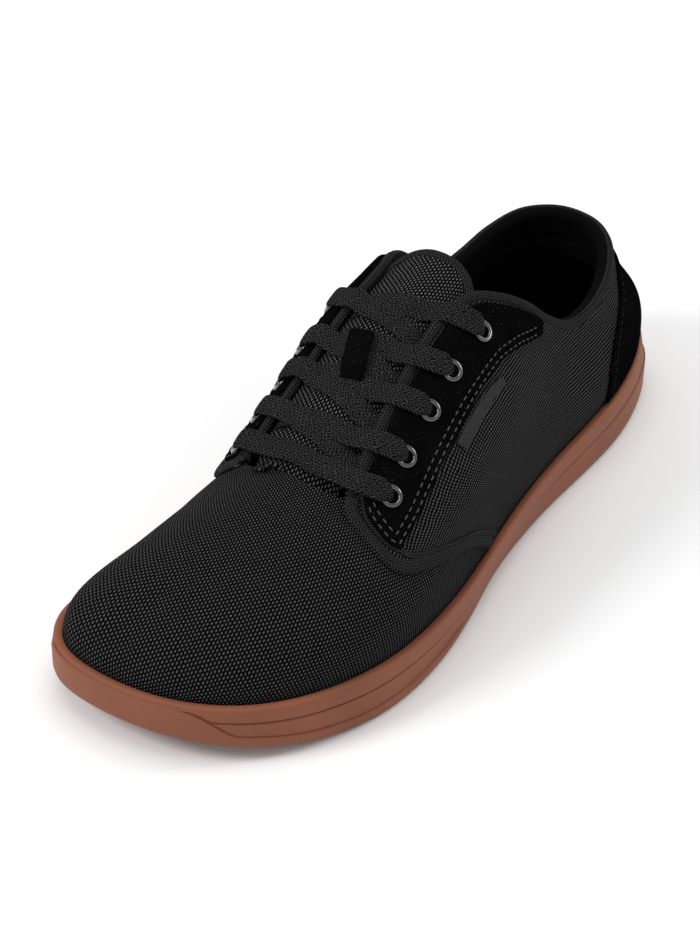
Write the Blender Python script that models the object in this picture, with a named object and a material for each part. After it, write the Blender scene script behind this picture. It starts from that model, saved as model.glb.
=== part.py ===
"""Left barefoot shoe: cupsole, hollow knit upper, tongue, insole, overlays, eyelets and laces.

+X points to the toe, +Y to the wearer's left (the shoe's outer side), +Z up.
The origin is on the floor, under the middle of the sole's outline.
"""
import math

import bmesh
import bpy
import numpy as np
from mathutils import Matrix

MM = 0.001

# Driving sizes
LENGTH = 290 * MM
BALL_WIDTH = 104 * MM
HEEL_HEIGHT = 69 * MM
INSTEP_HEIGHT = 100 * MM
TOE_HEIGHT = 44 * MM
RIM_HEIGHT = 21 * MM
TOE_SPRING = 10 * MM
SOLE_FLOOR = 6 * MM
SOLE_WALL = 2.8 * MM
GROOVE_DEPTH = 0.7 * MM
GROOVE_WIDTH = 1.0 * MM
LIP_STEP = 0.6 * MM
LIP_HEIGHT = 5.0 * MM
INSOLE_THICKNESS = 3.0 * MM
VAMP_WALL = 2.0 * MM
QUARTER_STEP = 1.0 * MM
BINDING_STEP = 0.7 * MM
COLLAR_PAD = 3.0 * MM
OVERLAY = 1.1 * MM
OVERLAY_CLEARANCE = 0.5 * MM
TONGUE_WALL = 2.4 * MM
LACE_WIDTH = 7.6 * MM
LACE_THICKNESS = 1.5 * MM
EYELET_BORE = 4.4 * MM
EYELET_BARREL = 5.2 * MM
EYELET_FLANGE = 8.0 * MM
EYELET_RIM = 0.9 * MM
EYELET_LENGTH = 3.6 * MM
LABEL_THICKNESS = 0.8 * MM
KEEPER_THICKNESS = 1.0 * MM
KEEPER_WIDTH = 7.0 * MM
GAP = 0.3 * MM

# Edges and roundings
TREAD_EDGE_INSET = 2.2 * MM
TREAD_ROUND_INSET = 0.4 * MM
TREAD_ROUND_RISE = 1.6 * MM
LIP_RISE = 0.3 * MM
RIM_ROUND_DROP = 1.0 * MM
RIM_ROUND_INSET = 0.8 * MM
OVERLAY_ROUND = 0.35 * MM
LABEL_ROUND = 0.1 * MM
TONGUE_ROUND = 0.6 * MM
EYELET_ROUND = 0.3 * MM
EYELET_CROWN = 1.2 * MM
PUNCH_LENGTH = 12.0 * MM
WELD = 0.001 * MM
SHARP_ANGLE = math.radians(40)

# Plan outline of the sole: shares of LENGTH from the heel, and of BALL_WIDTH to each side of a
# line through the middle of the heel
OUTLINE_COLUMNS = ("along", "lateral", "medial")
OUTLINE = (
    (0.000, 0.000, 0.000),
    (0.019, 0.207, 0.195),
    (0.086, 0.322, 0.310),
    (0.190, 0.385, 0.340),
    (0.310, 0.399, 0.335),
    (0.431, 0.431, 0.350),
    (0.550, 0.495, 0.390),
    (0.672, 0.548, 0.440),
    (0.776, 0.538, 0.458),
    (0.860, 0.462, 0.464),
    (0.931, 0.332, 0.458),
    (0.981, 0.132, 0.360),
    (1.000, -0.150, 0.150),
)

# Side of the sole: lift of the tread as a share of TOE_SPRING, rim as a share of RIM_HEIGHT,
# groove as a share of the wall, and how far the rim and the lower band are drawn in, as shares
# of SOLE_WALL
SIDE_COLUMNS = ("along", "lift", "rim", "groove", "rim_in", "band_in")
SIDE = (
    (0.000, 0.24, 1.18, 0.55, 1.20, 0.00),
    (0.050, 0.04, 1.14, 0.58, 1.00, 0.00),
    (0.110, 0.00, 1.08, 0.60, 0.60, 0.00),
    (0.280, 0.00, 0.97, 0.62, 0.10, 0.15),
    (0.400, 0.06, 0.92, 0.58, 0.00, 0.45),
    (0.500, 0.07, 0.90, 0.52, 0.00, 0.80),
    (0.580, 0.03, 0.91, 0.58, 0.00, 0.45),
    (0.680, 0.00, 0.96, 0.64, 0.05, 0.10),
    (0.780, 0.00, 1.00, 0.66, 0.10, 0.00),
    (0.860, 0.16, 1.02, 0.66, 0.15, 0.00),
    (0.930, 0.52, 1.06, 0.66, 0.30, 0.00),
    (1.000, 1.00, 1.12, 0.66, 0.45, 0.00),
)

# Where the toe's lip starts and is full, in x as shares of LENGTH
LIP_FROM = 0.08
LIP_FULL = 0.16

# Middle line of the floors: share of the outline's arc, and x as a share of LENGTH
FLOOR_MIDDLE = ((0, -0.36), (0.12, -0.33), (0.5, 0.02), (0.88, 0.38), (1, 0.41))

# Upper's sections from the heel's back (row 0) to the toe's tip (last row), the same rows on
# both sides. rim: share of the half outline's arc. top_along: share of LENGTH. lateral and
# medial: shares of BALL_WIDTH. heel, instep and toe: shares of those three heights, added.
# drop: how much lower the medial side's top is, as a share of INSTEP_HEIGHT. lean: degrees
# outward at the rim. slope: degrees at the top. fall: rise over run towards the toe at the top.
# full and medial_full: how round the section is, 1 for an ellipse.
SECTION_COLUMNS = ("rim", "top_along", "lateral", "medial", "heel", "instep", "toe", "drop",
                   "lean", "slope", "fall", "full", "medial_full")
SECTIONS = (
    (0.000, 0.066, -0.03, 0.030, 1.000, 0.000, 0.000, 0.00, 6, 82, 0.00, 1.00, 1.00),
    (0.055, 0.074, 0.075, 0.130, 0.995, 0.000, 0.000, 0.00, 6, 82, 0.00, 1.00, 1.00),
    (0.115, 0.100, 0.165, 0.225, 0.970, 0.000, 0.000, 0.00, 6, 82, 0.00, 1.00, 1.00),
    (0.185, 0.145, 0.235, 0.278, 0.920, 0.000, 0.000, 0.00, 6, 82, 0.00, 1.00, 1.00),
    (0.240, 0.203, 0.275, 0.290, 0.885, 0.000, 0.000, 0.00, 6, 80, 0.00, 1.00, 1.00),
    (0.295, 0.262, 0.282, 0.284, 0.460, 0.310, 0.000, 0.00, 4, 78, 0.00, 1.00, 1.00),
    (0.345, 0.314, 0.276, 0.272, 0.000, 0.730, 0.000, 0.00, 2, 72, 0.00, 1.00, 0.95),
    (0.390, 0.359, 0.258, 0.250, 0.000, 0.855, 0.000, 0.00, 0, 62, 0.00, 1.00, 0.90),
    (0.425, 0.400, 0.225, 0.218, 0.000, 0.940, 0.000, 0.01, 0, 52, -0.05, 1.00, 0.85),
    (0.460, 0.441, 0.178, 0.172, 0.000, 0.985, 0.000, 0.02, 0, 44, -0.15, 1.00, 0.80),
    (0.495, 0.497, 0.168, 0.158, 0.000, 0.975, 0.000, 0.03, 0, 42, -0.35, 1.00, 0.75),
    (0.540, 0.559, 0.183, 0.158, 0.000, 0.905, 0.000, 0.04, 2, 42, -0.45, 1.00, 0.72),
    (0.585, 0.621, 0.207, 0.160, 0.000, 0.820, 0.000, 0.05, 4, 46, -0.45, 1.00, 0.62),
    (0.625, 0.676, 0.235, 0.162, 0.000, 0.740, 0.000, 0.05, 6, 46, -0.48, 1.00, 0.56),
    (0.660, 0.717, 0.254, 0.162, 0.000, 0.665, 0.000, 0.05, 7, 42, -0.45, 1.00, 0.46),
    (0.682, 0.731, 0.175, 0.100, 0.000, 0.680, 0.000, 0.03, 7, 24, -0.43, 0.98, 0.44),
    (0.705, 0.735, 0.105, 0.035, 0.000, 0.690, 0.000, 0.01, 7, 10, -0.42, 0.96, 0.46),
    (0.730, 0.735, 0.035, -0.035, 0.000, 0.690, 0.000, 0.00, 7, 0, -0.42, 0.95, 0.50),
    (0.760, 0.766, 0.020, -0.020, 0.000, 0.600, 0.110, 0.00, 7, 0, -0.46, 0.95, 0.56),
    (0.792, 0.797, 0.005, -0.005, 0.000, 0.500, 0.240, 0.00, 6, 0, -0.48, 0.95, 0.64),
    (0.827, 0.826, -0.015, 0.015, 0.000, 0.400, 0.370, 0.00, 6, 0, -0.50, 0.95, 0.74),
    (0.865, 0.852, -0.035, 0.035, 0.000, 0.300, 0.510, 0.00, 5, 0, -0.52, 0.95, 0.82),
    (0.907, 0.872, -0.055, 0.055, 0.000, 0.200, 0.670, 0.00, 4, 0, -0.52, 0.95, 0.86),
    (0.952, 0.888, -0.075, 0.075, 0.000, 0.100, 0.835, 0.00, 3, 0, -0.52, 0.95, 0.90),
    (1.000, 0.900, -0.090, 0.090, 0.000, 0.000, 1.000, 0.00, 3, 0, -0.50, 0.95, 0.95),
)
LAST_ROW = len(SECTIONS) - 1
COLLAR_FRONT_ROW = 8.6
THROAT_CORNER_ROW = 14
SPINE_ROW = 17

# Front edge of the quarters: how many rows of SECTIONS it lies behind the throat's corner,
# by its share of the way from the rim to the throat
FRONT_EDGE_COLUMNS = ("up", "rows_back")
FRONT_EDGE = ((0.00, 4.15), (0.09, 3.35), (0.21, 2.40), (0.32, 1.48), (0.43, 0.70), (0.54, 0.08),
              (0.63, -0.28), (0.75, -0.58), (0.87, -0.62), (0.96, -0.35), (1.00, 0.00))
SHEAR_FROM_ROW = 5

# Tangent of a curve from rim to top that makes a quarter of an ellipse
ELLIPSE = 1.657

# Height shares between which the collar's padding grows, and the rows over which it fades out
PAD_FROM = 0.45
PAD_TO = 0.75
PAD_FADE_ROWS = 2.5

# Rows of the bound front edge: its foot, its top and its front, and the height share at which
# the topline starts to round inward
BINDING_ROWS = (13.5, 13.7, 13.85)
TOPLINE_FROM = 0.93
RIM_BLEND = 0.10

# Columns of the meshes on one side: close round the heel and toe, wider along the straight
# waist, and closest at the quarter's bound front edge
STEP_ROW = THROAT_CORNER_ROW + 0.12
COLUMNS = sorted({0.25 * k for k in range(11)} | {0.5 * k for k in range(5, 11)}
                 | set(range(6, 14)) | {8.5, 9.5, *BINDING_ROWS, STEP_ROW}
                 | {0.5 * k for k in range(28, 2 * LAST_ROW + 1)})
OUTER_UPS = (0.0, 0.12, 0.26, 0.42, 0.56, 0.70, 0.82, 0.92, 1.0)
INNER_UPS = (1.0, 0.90, 0.70, 0.35, 0.0)

# Eyestay's outer edge: height share at each row of SECTIONS; its top edge follows the throat
STAY_COLUMNS = ("row", "edge")
STAY = ((6.45, 0.913), (7.00, 0.866), (7.60, 0.829), (8.30, 0.782), (8.90, 0.744),
        (9.50, 0.722), (10.30, 0.706), (10.90, 0.693), (11.70, 0.668), (12.50, 0.646),
        (13.35, 0.637))
STAY_TOP = 0.965

# Eyelet centres from the collar down, as rows and height shares: lateral (1) and medial (-1).
# The throat is turned a little, so the medial eyelets lie nearer to the toe.
EYELETS = {
    1: ((8.86, 0.895), (10.02, 0.876), (10.83, 0.869), (11.75, 0.863), (12.54, 0.836)),
    -1: ((9.80, 0.872), (10.74, 0.874), (11.46, 0.876), (12.22, 0.872), (12.95, 0.862)),
}
LEVELS = len(EYELETS[1])

# Heel counter's front edge: row of SECTIONS at each height share
COUNTER_COLUMNS = ("up", "row")
COUNTER = ((0.03, 3.80), (0.25, 3.75), (0.50, 3.40), (0.64, 2.90), (0.76, 2.45), (0.88, 2.20))

# Side label's corners: rows and height shares of its two ends
LABEL_COLUMNS = ("row", "low", "high")
LABEL = ((8.60, 0.663, 0.706), (10.70, 0.602, 0.679))

# Tongue's sections from its base under the vamp to its free end: along as a share of LENGTH,
# middle, half_width and radius as shares of BALL_WIDTH, crest as a share of INSTEP_HEIGHT
TONGUE_COLUMNS = ("along", "middle", "half_width", "radius", "crest")
TONGUE = (
    (0.762, 0.034, 0.115, 0.192, 0.612),
    (0.735, 0.036, 0.140, 0.200, 0.650),
    (0.700, 0.040, 0.165, 0.300, 0.705),
    (0.660, 0.038, 0.175, 0.290, 0.765),
    (0.621, 0.034, 0.178, 0.270, 0.825),
    (0.559, 0.026, 0.180, 0.255, 0.910),
    (0.497, 0.018, 0.180, 0.245, 0.985),
    (0.441, 0.010, 0.175, 0.240, 1.015),
    (0.404, 0.004, 0.165, 0.222, 1.040),
)
TONGUE_ACROSS = 9

# Lace strips: a bar between the lowest eyelets, then from each eyelet across the tongue to below
# the next strip on the far side. Lifts are above the tongue, in lace thicknesses.
BAR_LIFT = 0.1
STRIP_LIFTS = {1: 0.4, -1: 1.0}
STRIP_CLEARANCE = 2.2 * MM
STRIP_LIFT = 2.8 * MM
TUCK_SHARE = 0.16
TUCK_DEPTH = 0.7
RAIL_CLEARANCE = 1.3 * MM
LACE_STEPS = 10
INSTEP_FALL = -0.45

# Lace keeper: ends along the tongue as shares of LENGTH, its lift in lace thicknesses, how
# steeply it rises, and how far it sits towards the outer side, as a share of half the tongue
KEEPER_FROM = 0.552
KEEPER_TO = 0.609
KEEPER_LIFT = 3.5
KEEPER_STEEPNESS = 4
KEEPER_ASIDE = 0.03

# Half the tongue's arc below the keeper, as a share of BALL_WIDTH
KEEPER_REACH = 0.205


def table(names, rows):
    """A table's columns as named arrays."""
    return {name: np.array([row[i] for row in rows], float) for i, name in enumerate(names)}


def ring_spline(values, at):
    """Smooth closed curve through values, one for each whole number of at."""
    values = np.asarray(values, float)
    count = len(values)
    low = np.floor(at).astype(int)
    f = at - low
    if values.ndim > 1:
        f = f[..., None]
    p0, p1, p2, p3 = (values[(low + k) % count] for k in (-1, 0, 1, 2))
    m1, m2 = (p2 - p0) / 2, (p3 - p1) / 2
    return ((2 * f**3 - 3 * f**2 + 1) * p1 + (f**3 - 2 * f**2 + f) * m1
            + (3 * f**2 - 2 * f**3) * p2 + (f**3 - f**2) * m2)


def smooth_table(xs, ys, at):
    """Smooth open curve through a table's column, with flat growth kept flat."""
    xs, ys = np.asarray(xs, float), np.asarray(ys, float)
    slope = np.diff(ys) / np.diff(xs)
    m = np.zeros(len(xs))
    same = slope[:-1] * slope[1:] > 0
    m[1:-1][same] = 2 * slope[:-1][same] * slope[1:][same] / (slope[:-1] + slope[1:])[same]
    m[0], m[-1] = slope[0], slope[-1]
    at = np.clip(at, xs[0], xs[-1])
    i = np.clip(np.searchsorted(xs, at, side="right") - 1, 0, len(xs) - 2)
    h = xs[i + 1] - xs[i]
    f = (at - xs[i]) / h
    return ((2 * f**3 - 3 * f**2 + 1) * ys[i] + (f**3 - 2 * f**2 + f) * h * m[i]
            + (3 * f**2 - 2 * f**3) * ys[i + 1] + (f**3 - f**2) * h * m[i + 1])


def closed_cubic(points, per_span):
    """Periodic cubic spline by chord length through plan points, sampled densely."""
    points = np.asarray(points, float)
    n = len(points)
    h = np.linalg.norm(np.roll(points, -1, 0) - points, axis=1)
    matrix = np.zeros((n, n))
    right = np.zeros((n, 2))
    for i in range(n):
        before, after = (i - 1) % n, (i + 1) % n
        matrix[i, before] += h[before]
        matrix[i, i] += 2 * (h[before] + h[i])
        matrix[i, after] += h[i]
        right[i] = 6 * ((points[after] - points[i]) / h[i] - (points[i] - points[before]) / h[before])
    bend = np.linalg.solve(matrix, right)
    out = []
    for i in range(n):
        after = (i + 1) % n
        u = np.linspace(0, h[i], per_span, endpoint=False)[:, None]
        a = (h[i] - u)
        out.append(bend[i] * a**3 / (6 * h[i]) + bend[after] * u**3 / (6 * h[i])
                   + (points[i] / h[i] - bend[i] * h[i] / 6) * a
                   + (points[after] / h[i] - bend[after] * h[i] / 6) * u)
    return np.vstack(out)


class Outline:
    """The sole's plan outline, by share of arc: 0 heel, 0 to 1 lateral, 1 toe, 1 to 2 medial."""

    def __init__(self):
        rows = table(OUTLINE_COLUMNS, OUTLINE)
        x = (rows["along"] - 0.5) * LENGTH
        lateral = np.column_stack([x, rows["lateral"] * BALL_WIDTH])
        medial = np.column_stack([x, -rows["medial"] * BALL_WIDTH])
        per_span = 160
        dense = closed_cubic(np.vstack([lateral, medial[-2:0:-1]]), per_span)
        self.middle = (dense.max(0) + dense.min(0)) / 2
        dense -= self.middle
        toe = (len(OUTLINE) - 1) * per_span
        self.dense = np.vstack([dense, dense[:1]])
        step = np.r_[0, np.cumsum(np.linalg.norm(np.diff(self.dense, axis=0), axis=1))]
        self.share = np.where(step <= step[toe], step / step[toe],
                              1 + (step - step[toe]) / (step[-1] - step[toe]))
        wide = np.vstack([self.dense[-6:-1], self.dense, self.dense[1:6]])
        tangent = wide[10:] - wide[:-10]
        normal = np.column_stack([-tangent[:, 1], tangent[:, 0]])
        self.normal = normal / np.linalg.norm(normal, axis=1, keepdims=True)

    def at(self, share, inset=0.0):
        """Plan points and outward normals at shares of arc, moved in by inset."""
        share = np.mod(share, 2.0)
        point = np.stack([np.interp(share, self.share, self.dense[:, k]) for k in (0, 1)], -1)
        normal = np.stack([np.interp(share, self.share, self.normal[:, k]) for k in (0, 1)], -1)
        normal = normal / np.linalg.norm(normal, axis=-1, keepdims=True)
        inset = np.asarray(inset, float)
        if inset.ndim:
            inset = inset[..., None]
        return point - normal * inset, normal


OUTLINE_CURVE = Outline()
SIDE_TABLE = table(SIDE_COLUMNS, SIDE)
SECTION_TABLE = table(SECTION_COLUMNS, SECTIONS)


def side(name, x):
    """A column of the sole's side table at x, in its own unit."""
    return smooth_table(SIDE_TABLE["along"], SIDE_TABLE[name], x / LENGTH + 0.5)


def tread_height(x):
    """Height of the tread above the floor at x."""
    return side("lift", x) * TOE_SPRING


def rim_height(x):
    """Height of the sole's rim at x."""
    return side("rim", x) * RIM_HEIGHT


def rim_inset(x):
    """How far the sole's rim is drawn in at x."""
    return side("rim_in", x) * SOLE_WALL


def both_sides(lateral, medial):
    """Values for the lateral rows, then the medial rows back to the heel."""
    return np.concatenate([lateral, medial[-2:0:-1]])


def section_rings():
    """Every section column as a ring: lateral rows out to the toe, then medial rows back."""
    t = SECTION_TABLE
    rings = {name: both_sides(t[name], t[name]) for name in ("lean", "slope", "fall")}
    rings["full"] = both_sides(t["full"], t["medial_full"])
    arc = both_sides(t["rim"], 2 - t["rim"])
    rings["arc_ahead"] = arc - np.arange(2 * LAST_ROW) / LAST_ROW
    top_x = (t["top_along"] - 0.5) * LENGTH
    top_z = t["heel"] * HEEL_HEIGHT + t["instep"] * INSTEP_HEIGHT + t["toe"] * TOE_HEIGHT
    medial_z = top_z - t["drop"] * INSTEP_HEIGHT
    lateral = np.column_stack([top_x, t["lateral"] * BALL_WIDTH, top_z])
    medial = np.column_stack([top_x, -t["medial"] * BALL_WIDTH, medial_z])
    rings["top"] = both_sides(lateral, medial) - [*OUTLINE_CURVE.middle, 0]
    return rings


RINGS = section_rings()


def last_surface(row, up):
    """Point of the upper's outer surface. row: 0 to 2 LAST_ROW round the shoe, up: 0 rim, 1 top."""
    row, up = np.broadcast_arrays(np.asarray(row, float), np.asarray(up, float))
    share = row / LAST_ROW + ring_spline(RINGS["arc_ahead"], row)
    plan, normal = OUTLINE_CURVE.at(share)
    plan, normal = OUTLINE_CURVE.at(share, rim_inset(plan[..., 0]) + SOLE_WALL + GAP)
    rim = np.concatenate([plan, rim_height(plan[..., 0])[..., None]], -1)
    top = ring_spline(RINGS["top"], row)
    lean = np.radians(ring_spline(RINGS["lean"], row))[..., None]
    start = np.concatenate([normal * np.sin(lean), np.cos(lean)], -1)
    inward = top[..., :2] - rim[..., :2]
    across = np.linalg.norm(inward, axis=-1, keepdims=True)
    inward = inward / across
    slope = np.radians(ring_spline(RINGS["slope"], row))
    rise = np.tan(slope) + inward[..., 0] * ring_spline(RINGS["fall"], row)
    end = np.concatenate([inward, rise[..., None]], -1)
    end = end / np.linalg.norm(end, axis=-1, keepdims=True)
    height = (top - rim)[..., 2:]
    full = ring_spline(RINGS["full"], row)[..., None] * ELLIPSE
    low = full * height
    reach = across * np.linalg.norm(end[..., :2], axis=-1, keepdims=True) + height * end[..., 2:]
    high = full * reach
    u = up[..., None]
    return ((2 * u**3 - 3 * u**2 + 1) * rim + (u**3 - 2 * u**2 + u) * start * low
            + (3 * u**2 - 2 * u**3) * top + (u**3 - u**2) * end * high)


def sheared(row, up):
    """Row that a mesh column follows, so that one column runs along the quarter's front edge."""
    edge = table(FRONT_EDGE_COLUMNS, FRONT_EDGE)
    back = smooth_table(edge["up"], edge["rows_back"], up)
    lateral = np.where(row <= LAST_ROW, row, 2 * LAST_ROW - row)
    behind = np.clip((lateral - SHEAR_FROM_ROW) / (THROAT_CORNER_ROW - SHEAR_FROM_ROW), 0, 1)
    ahead = np.clip((LAST_ROW - lateral) / (LAST_ROW - THROAT_CORNER_ROW), 0, 1)
    part = np.minimum(behind, ahead)
    moved = lateral - back * part
    return np.where(row <= LAST_ROW, moved, 2 * LAST_ROW - moved)


def upper_point(row, up, out=0.0):
    """Point of the upper at a mesh column and a share of height, out metres off its surface."""
    row, up = np.broadcast_arrays(np.asarray(row, float), np.asarray(up, float))
    point = last_surface(sheared(row, up), up)
    step_row, step_up = 0.02, 0.01
    along = last_surface(sheared(row + step_row, up), up) - last_surface(sheared(row - step_row, up), up)
    upward = (last_surface(sheared(row, up), np.minimum(up + step_up, 1))
              - last_surface(sheared(row, up), np.maximum(up - step_up, 0)))
    normal = np.cross(upward, along)
    normal = normal / np.linalg.norm(normal, axis=-1, keepdims=True)
    out = np.asarray(out, float)
    if out.ndim:
        out = out[..., None]
    return point + normal * out


def wall(row, up):
    """Thickness of the upper's wall: thin knit, padded at the collar."""
    lateral = np.where(row <= LAST_ROW, row, 2 * LAST_ROW - row)
    round_heel = np.clip((COLLAR_FRONT_ROW - lateral) / PAD_FADE_ROWS, 0, 1)
    near_top = np.clip((up - PAD_FROM) / (PAD_TO - PAD_FROM), 0, 1)
    return VAMP_WALL + COLLAR_PAD * round_heel * near_top**2 * (3 - 2 * near_top)


def outer_step(row, up):
    """How far the upper's outer face stands off its surface: the quarters lie over the vamp."""
    lateral = np.where(row <= LAST_ROW, row, 2 * LAST_ROW - row)
    rows = (0, *BINDING_ROWS, THROAT_CORNER_ROW, STEP_ROW, LAST_ROW)
    bound = QUARTER_STEP + BINDING_STEP
    step = np.interp(lateral, rows, (QUARTER_STEP, QUARTER_STEP, bound, bound, QUARTER_STEP, 0, 0))
    above_rim = np.clip(up / RIM_BLEND, 0, 1)
    rounding = np.clip((up - TOPLINE_FROM) / (1 - TOPLINE_FROM), 0, 1)
    open_top = lateral < SPINE_ROW - 0.5
    return step * above_rim - np.where(open_top, rounding, 0) * 0.5 * QUARTER_STEP


def ring_rows():
    """Columns round the whole shoe: lateral out to the toe, then medial back to the heel."""
    lateral = np.array(COLUMNS)
    return np.concatenate([lateral, 2 * LAST_ROW - lateral[-2:0:-1]])


def rim_share(row):
    """Share of arc at which a mesh column meets the rim."""
    row = sheared(row, np.zeros_like(row))
    return row / LAST_ROW + ring_spline(RINGS["arc_ahead"], row)


def material(name, colour, roughness, metallic=0.0):
    """Plain finish of one colour."""
    finish = bpy.data.materials.new(name)
    finish.use_nodes = True
    shader = finish.node_tree.nodes["Principled BSDF"]
    shader.inputs["Base Color"].default_value = (*colour, 1.0)
    shader.inputs["Roughness"].default_value = roughness
    shader.inputs["Metallic"].default_value = metallic
    finish.diffuse_color = (*colour, 1.0)
    return finish


def new_object(name, mesh, collection, finish=None):
    """Object in a collection, smooth except at sharp edges where it has a finish."""
    obj = bpy.data.objects.new(name, mesh)
    collection.objects.link(obj)
    if finish is not None:
        mesh.materials.append(finish)
        mesh.shade_smooth()
        mesh.set_sharp_from_angle(angle=SHARP_ANGLE)
    return obj


def mesh_from(name, points, faces):
    """Closed mesh from points and faces, with doubled points welded and faces turned outward."""
    mesh = bpy.data.meshes.new(name)
    bm = bmesh.new()
    verts = [bm.verts.new(p) for p in points]
    for face in faces:
        bm.faces.new([verts[i] for i in face])
    bmesh.ops.remove_doubles(bm, verts=bm.verts, dist=WELD)
    bmesh.ops.recalc_face_normals(bm, faces=bm.faces)
    bm.to_mesh(mesh)
    bm.free()
    return mesh


def ring_loft(name, rings, skip=None):
    """Mesh through rings of equal length; skip says which quads of which band are left open."""
    count = len(rings[0])
    points = np.vstack(rings)
    faces = []
    for band in range(len(rings) - 1):
        for i in range(count):
            if skip is not None and skip(band, i):
                continue
            j = (i + 1) % count
            faces.append((band * count + i, band * count + j,
                          (band + 1) * count + j, (band + 1) * count + i))
    return mesh_from(name, points, faces)


def slab(name, outer, inner):
    """Closed mesh between two grids of points of the same shape."""
    m, n = outer.shape[:2]
    points = np.vstack([outer.reshape(-1, 3), inner.reshape(-1, 3)])
    index = np.arange(2 * m * n).reshape(2, m, n)
    faces = []
    for i in range(m - 1):
        for j in range(n - 1):
            for k in (0, 1):
                faces.append((index[k, i, j], index[k, i + 1, j],
                              index[k, i + 1, j + 1], index[k, i, j + 1]))
    edge = ([(i, 0) for i in range(m)] + [(m - 1, j) for j in range(1, n)]
            + [(i, n - 1) for i in range(m - 2, -1, -1)] + [(0, j) for j in range(n - 2, 0, -1)])
    for a, b in zip(edge, edge[1:] + edge[:1]):
        faces.append((index[0][a], index[0][b], index[1][b], index[1][a]))
    return mesh_from(name, points, faces)


def lowered_edges(depth, m, n):
    """Grid of depths that rounds the edge of an overlay's outer face."""
    grid = np.zeros((m, n))
    grid[0], grid[-1], grid[:, 0], grid[:, -1] = depth, depth, depth, depth
    return grid


def centre_line(share):
    """Middle of the shoe's floor below a point of the outline, which the floors' columns meet."""
    along = np.where(share <= 1, share, 2 - share)
    x = smooth_table(*zip(*FLOOR_MIDDLE), along) * LENGTH
    lateral, _ = OUTLINE_CURVE.at(np.interp(x, *side_by_x(1)))
    medial, _ = OUTLINE_CURVE.at(np.interp(x, *side_by_x(-1)))
    return np.column_stack([x, (lateral[:, 1] + medial[:, 1]) / 2])


def side_by_x(sign):
    """x and share of arc along one side of the outline, for looking a share up by x."""
    share = np.linspace(0.02, 0.98, 200)
    if sign < 0:
        share = 2 - share
    plan, _ = OUTLINE_CURVE.at(share)
    return plan[:, 0], share


def outsole():
    """Cupsole: tread, side wall with its lip and groove, rim, and the floor inside."""
    share = rim_share(ring_rows())
    centre = centre_line(share)

    def ring(inset, height):
        plan, _ = OUTLINE_CURVE.at(share, inset)
        return np.column_stack([plan, height(plan[:, 0]) if callable(height) else height])

    plan, _ = OUTLINE_CURVE.at(share)
    x = plan[:, 0]
    low, rim = tread_height(x), rim_height(x)
    groove = low + side("groove", x) * (rim - low)
    band_in = side("band_in", x) * SOLE_WALL
    lip_step = LIP_STEP * np.clip((x / LENGTH - LIP_FROM) / (LIP_FULL - LIP_FROM), 0, 1)
    rim_in = rim_inset(x)

    def floor_height(at):
        return tread_height(at) + SOLE_FLOOR

    tread_edge = ring(band_in + TREAD_EDGE_INSET, tread_height)
    inner_edge = ring(rim_in + SOLE_WALL, floor_height)
    middle = np.column_stack([centre, tread_height(centre[:, 0])])
    floor_middle = np.column_stack([centre, floor_height(centre[:, 0])])
    half_tread = middle * 0.5 + tread_edge * 0.5
    half_tread[:, 2] = tread_height(half_tread[:, 0])
    half_floor = floor_middle * 0.5 + inner_edge * 0.5
    half_floor[:, 2] = floor_height(half_floor[:, 0])
    rings = [
        middle,
        half_tread,
        tread_edge,
        ring(band_in + TREAD_ROUND_INSET, low + TREAD_ROUND_RISE),
        ring(band_in * 0.8, low + LIP_HEIGHT),
        ring(band_in * 0.8 + lip_step, low + LIP_HEIGHT + LIP_RISE),
        ring(band_in * 0.5 + lip_step * 0.5, groove - GROOVE_WIDTH / 2),
        ring(band_in * 0.3 + GROOVE_DEPTH, groove),
        ring(rim_in * 0.25, groove + GROOVE_WIDTH / 2),
        ring(rim_in * 0.85, rim - RIM_ROUND_DROP),
        ring(rim_in + RIM_ROUND_INSET, rim),
        ring(rim_in + SOLE_WALL, rim - GAP),
        inner_edge,
        half_floor,
        floor_middle,
    ]
    return ring_loft("outsole", rings)


def insole():
    """Flat sock lining on the sole's floor, inside the upper's foot."""
    share = rim_share(ring_rows())[::2]
    centre = centre_line(share)
    plan, _ = OUTLINE_CURVE.at(share)
    edge, _ = OUTLINE_CURVE.at(share, rim_inset(plan[:, 0]) + SOLE_WALL + VAMP_WALL + 3 * GAP)
    rings = []
    for lift, parts in ((0, (0, 0.5, 1)), (INSOLE_THICKNESS, (1, 0.5, 0))):
        for part in parts:
            at = centre * (1 - part) + edge * part
            rings.append(np.column_stack([at, tread_height(at[:, 0]) + SOLE_FLOOR + GAP + lift]))
    return ring_loft("insole", rings)


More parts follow.
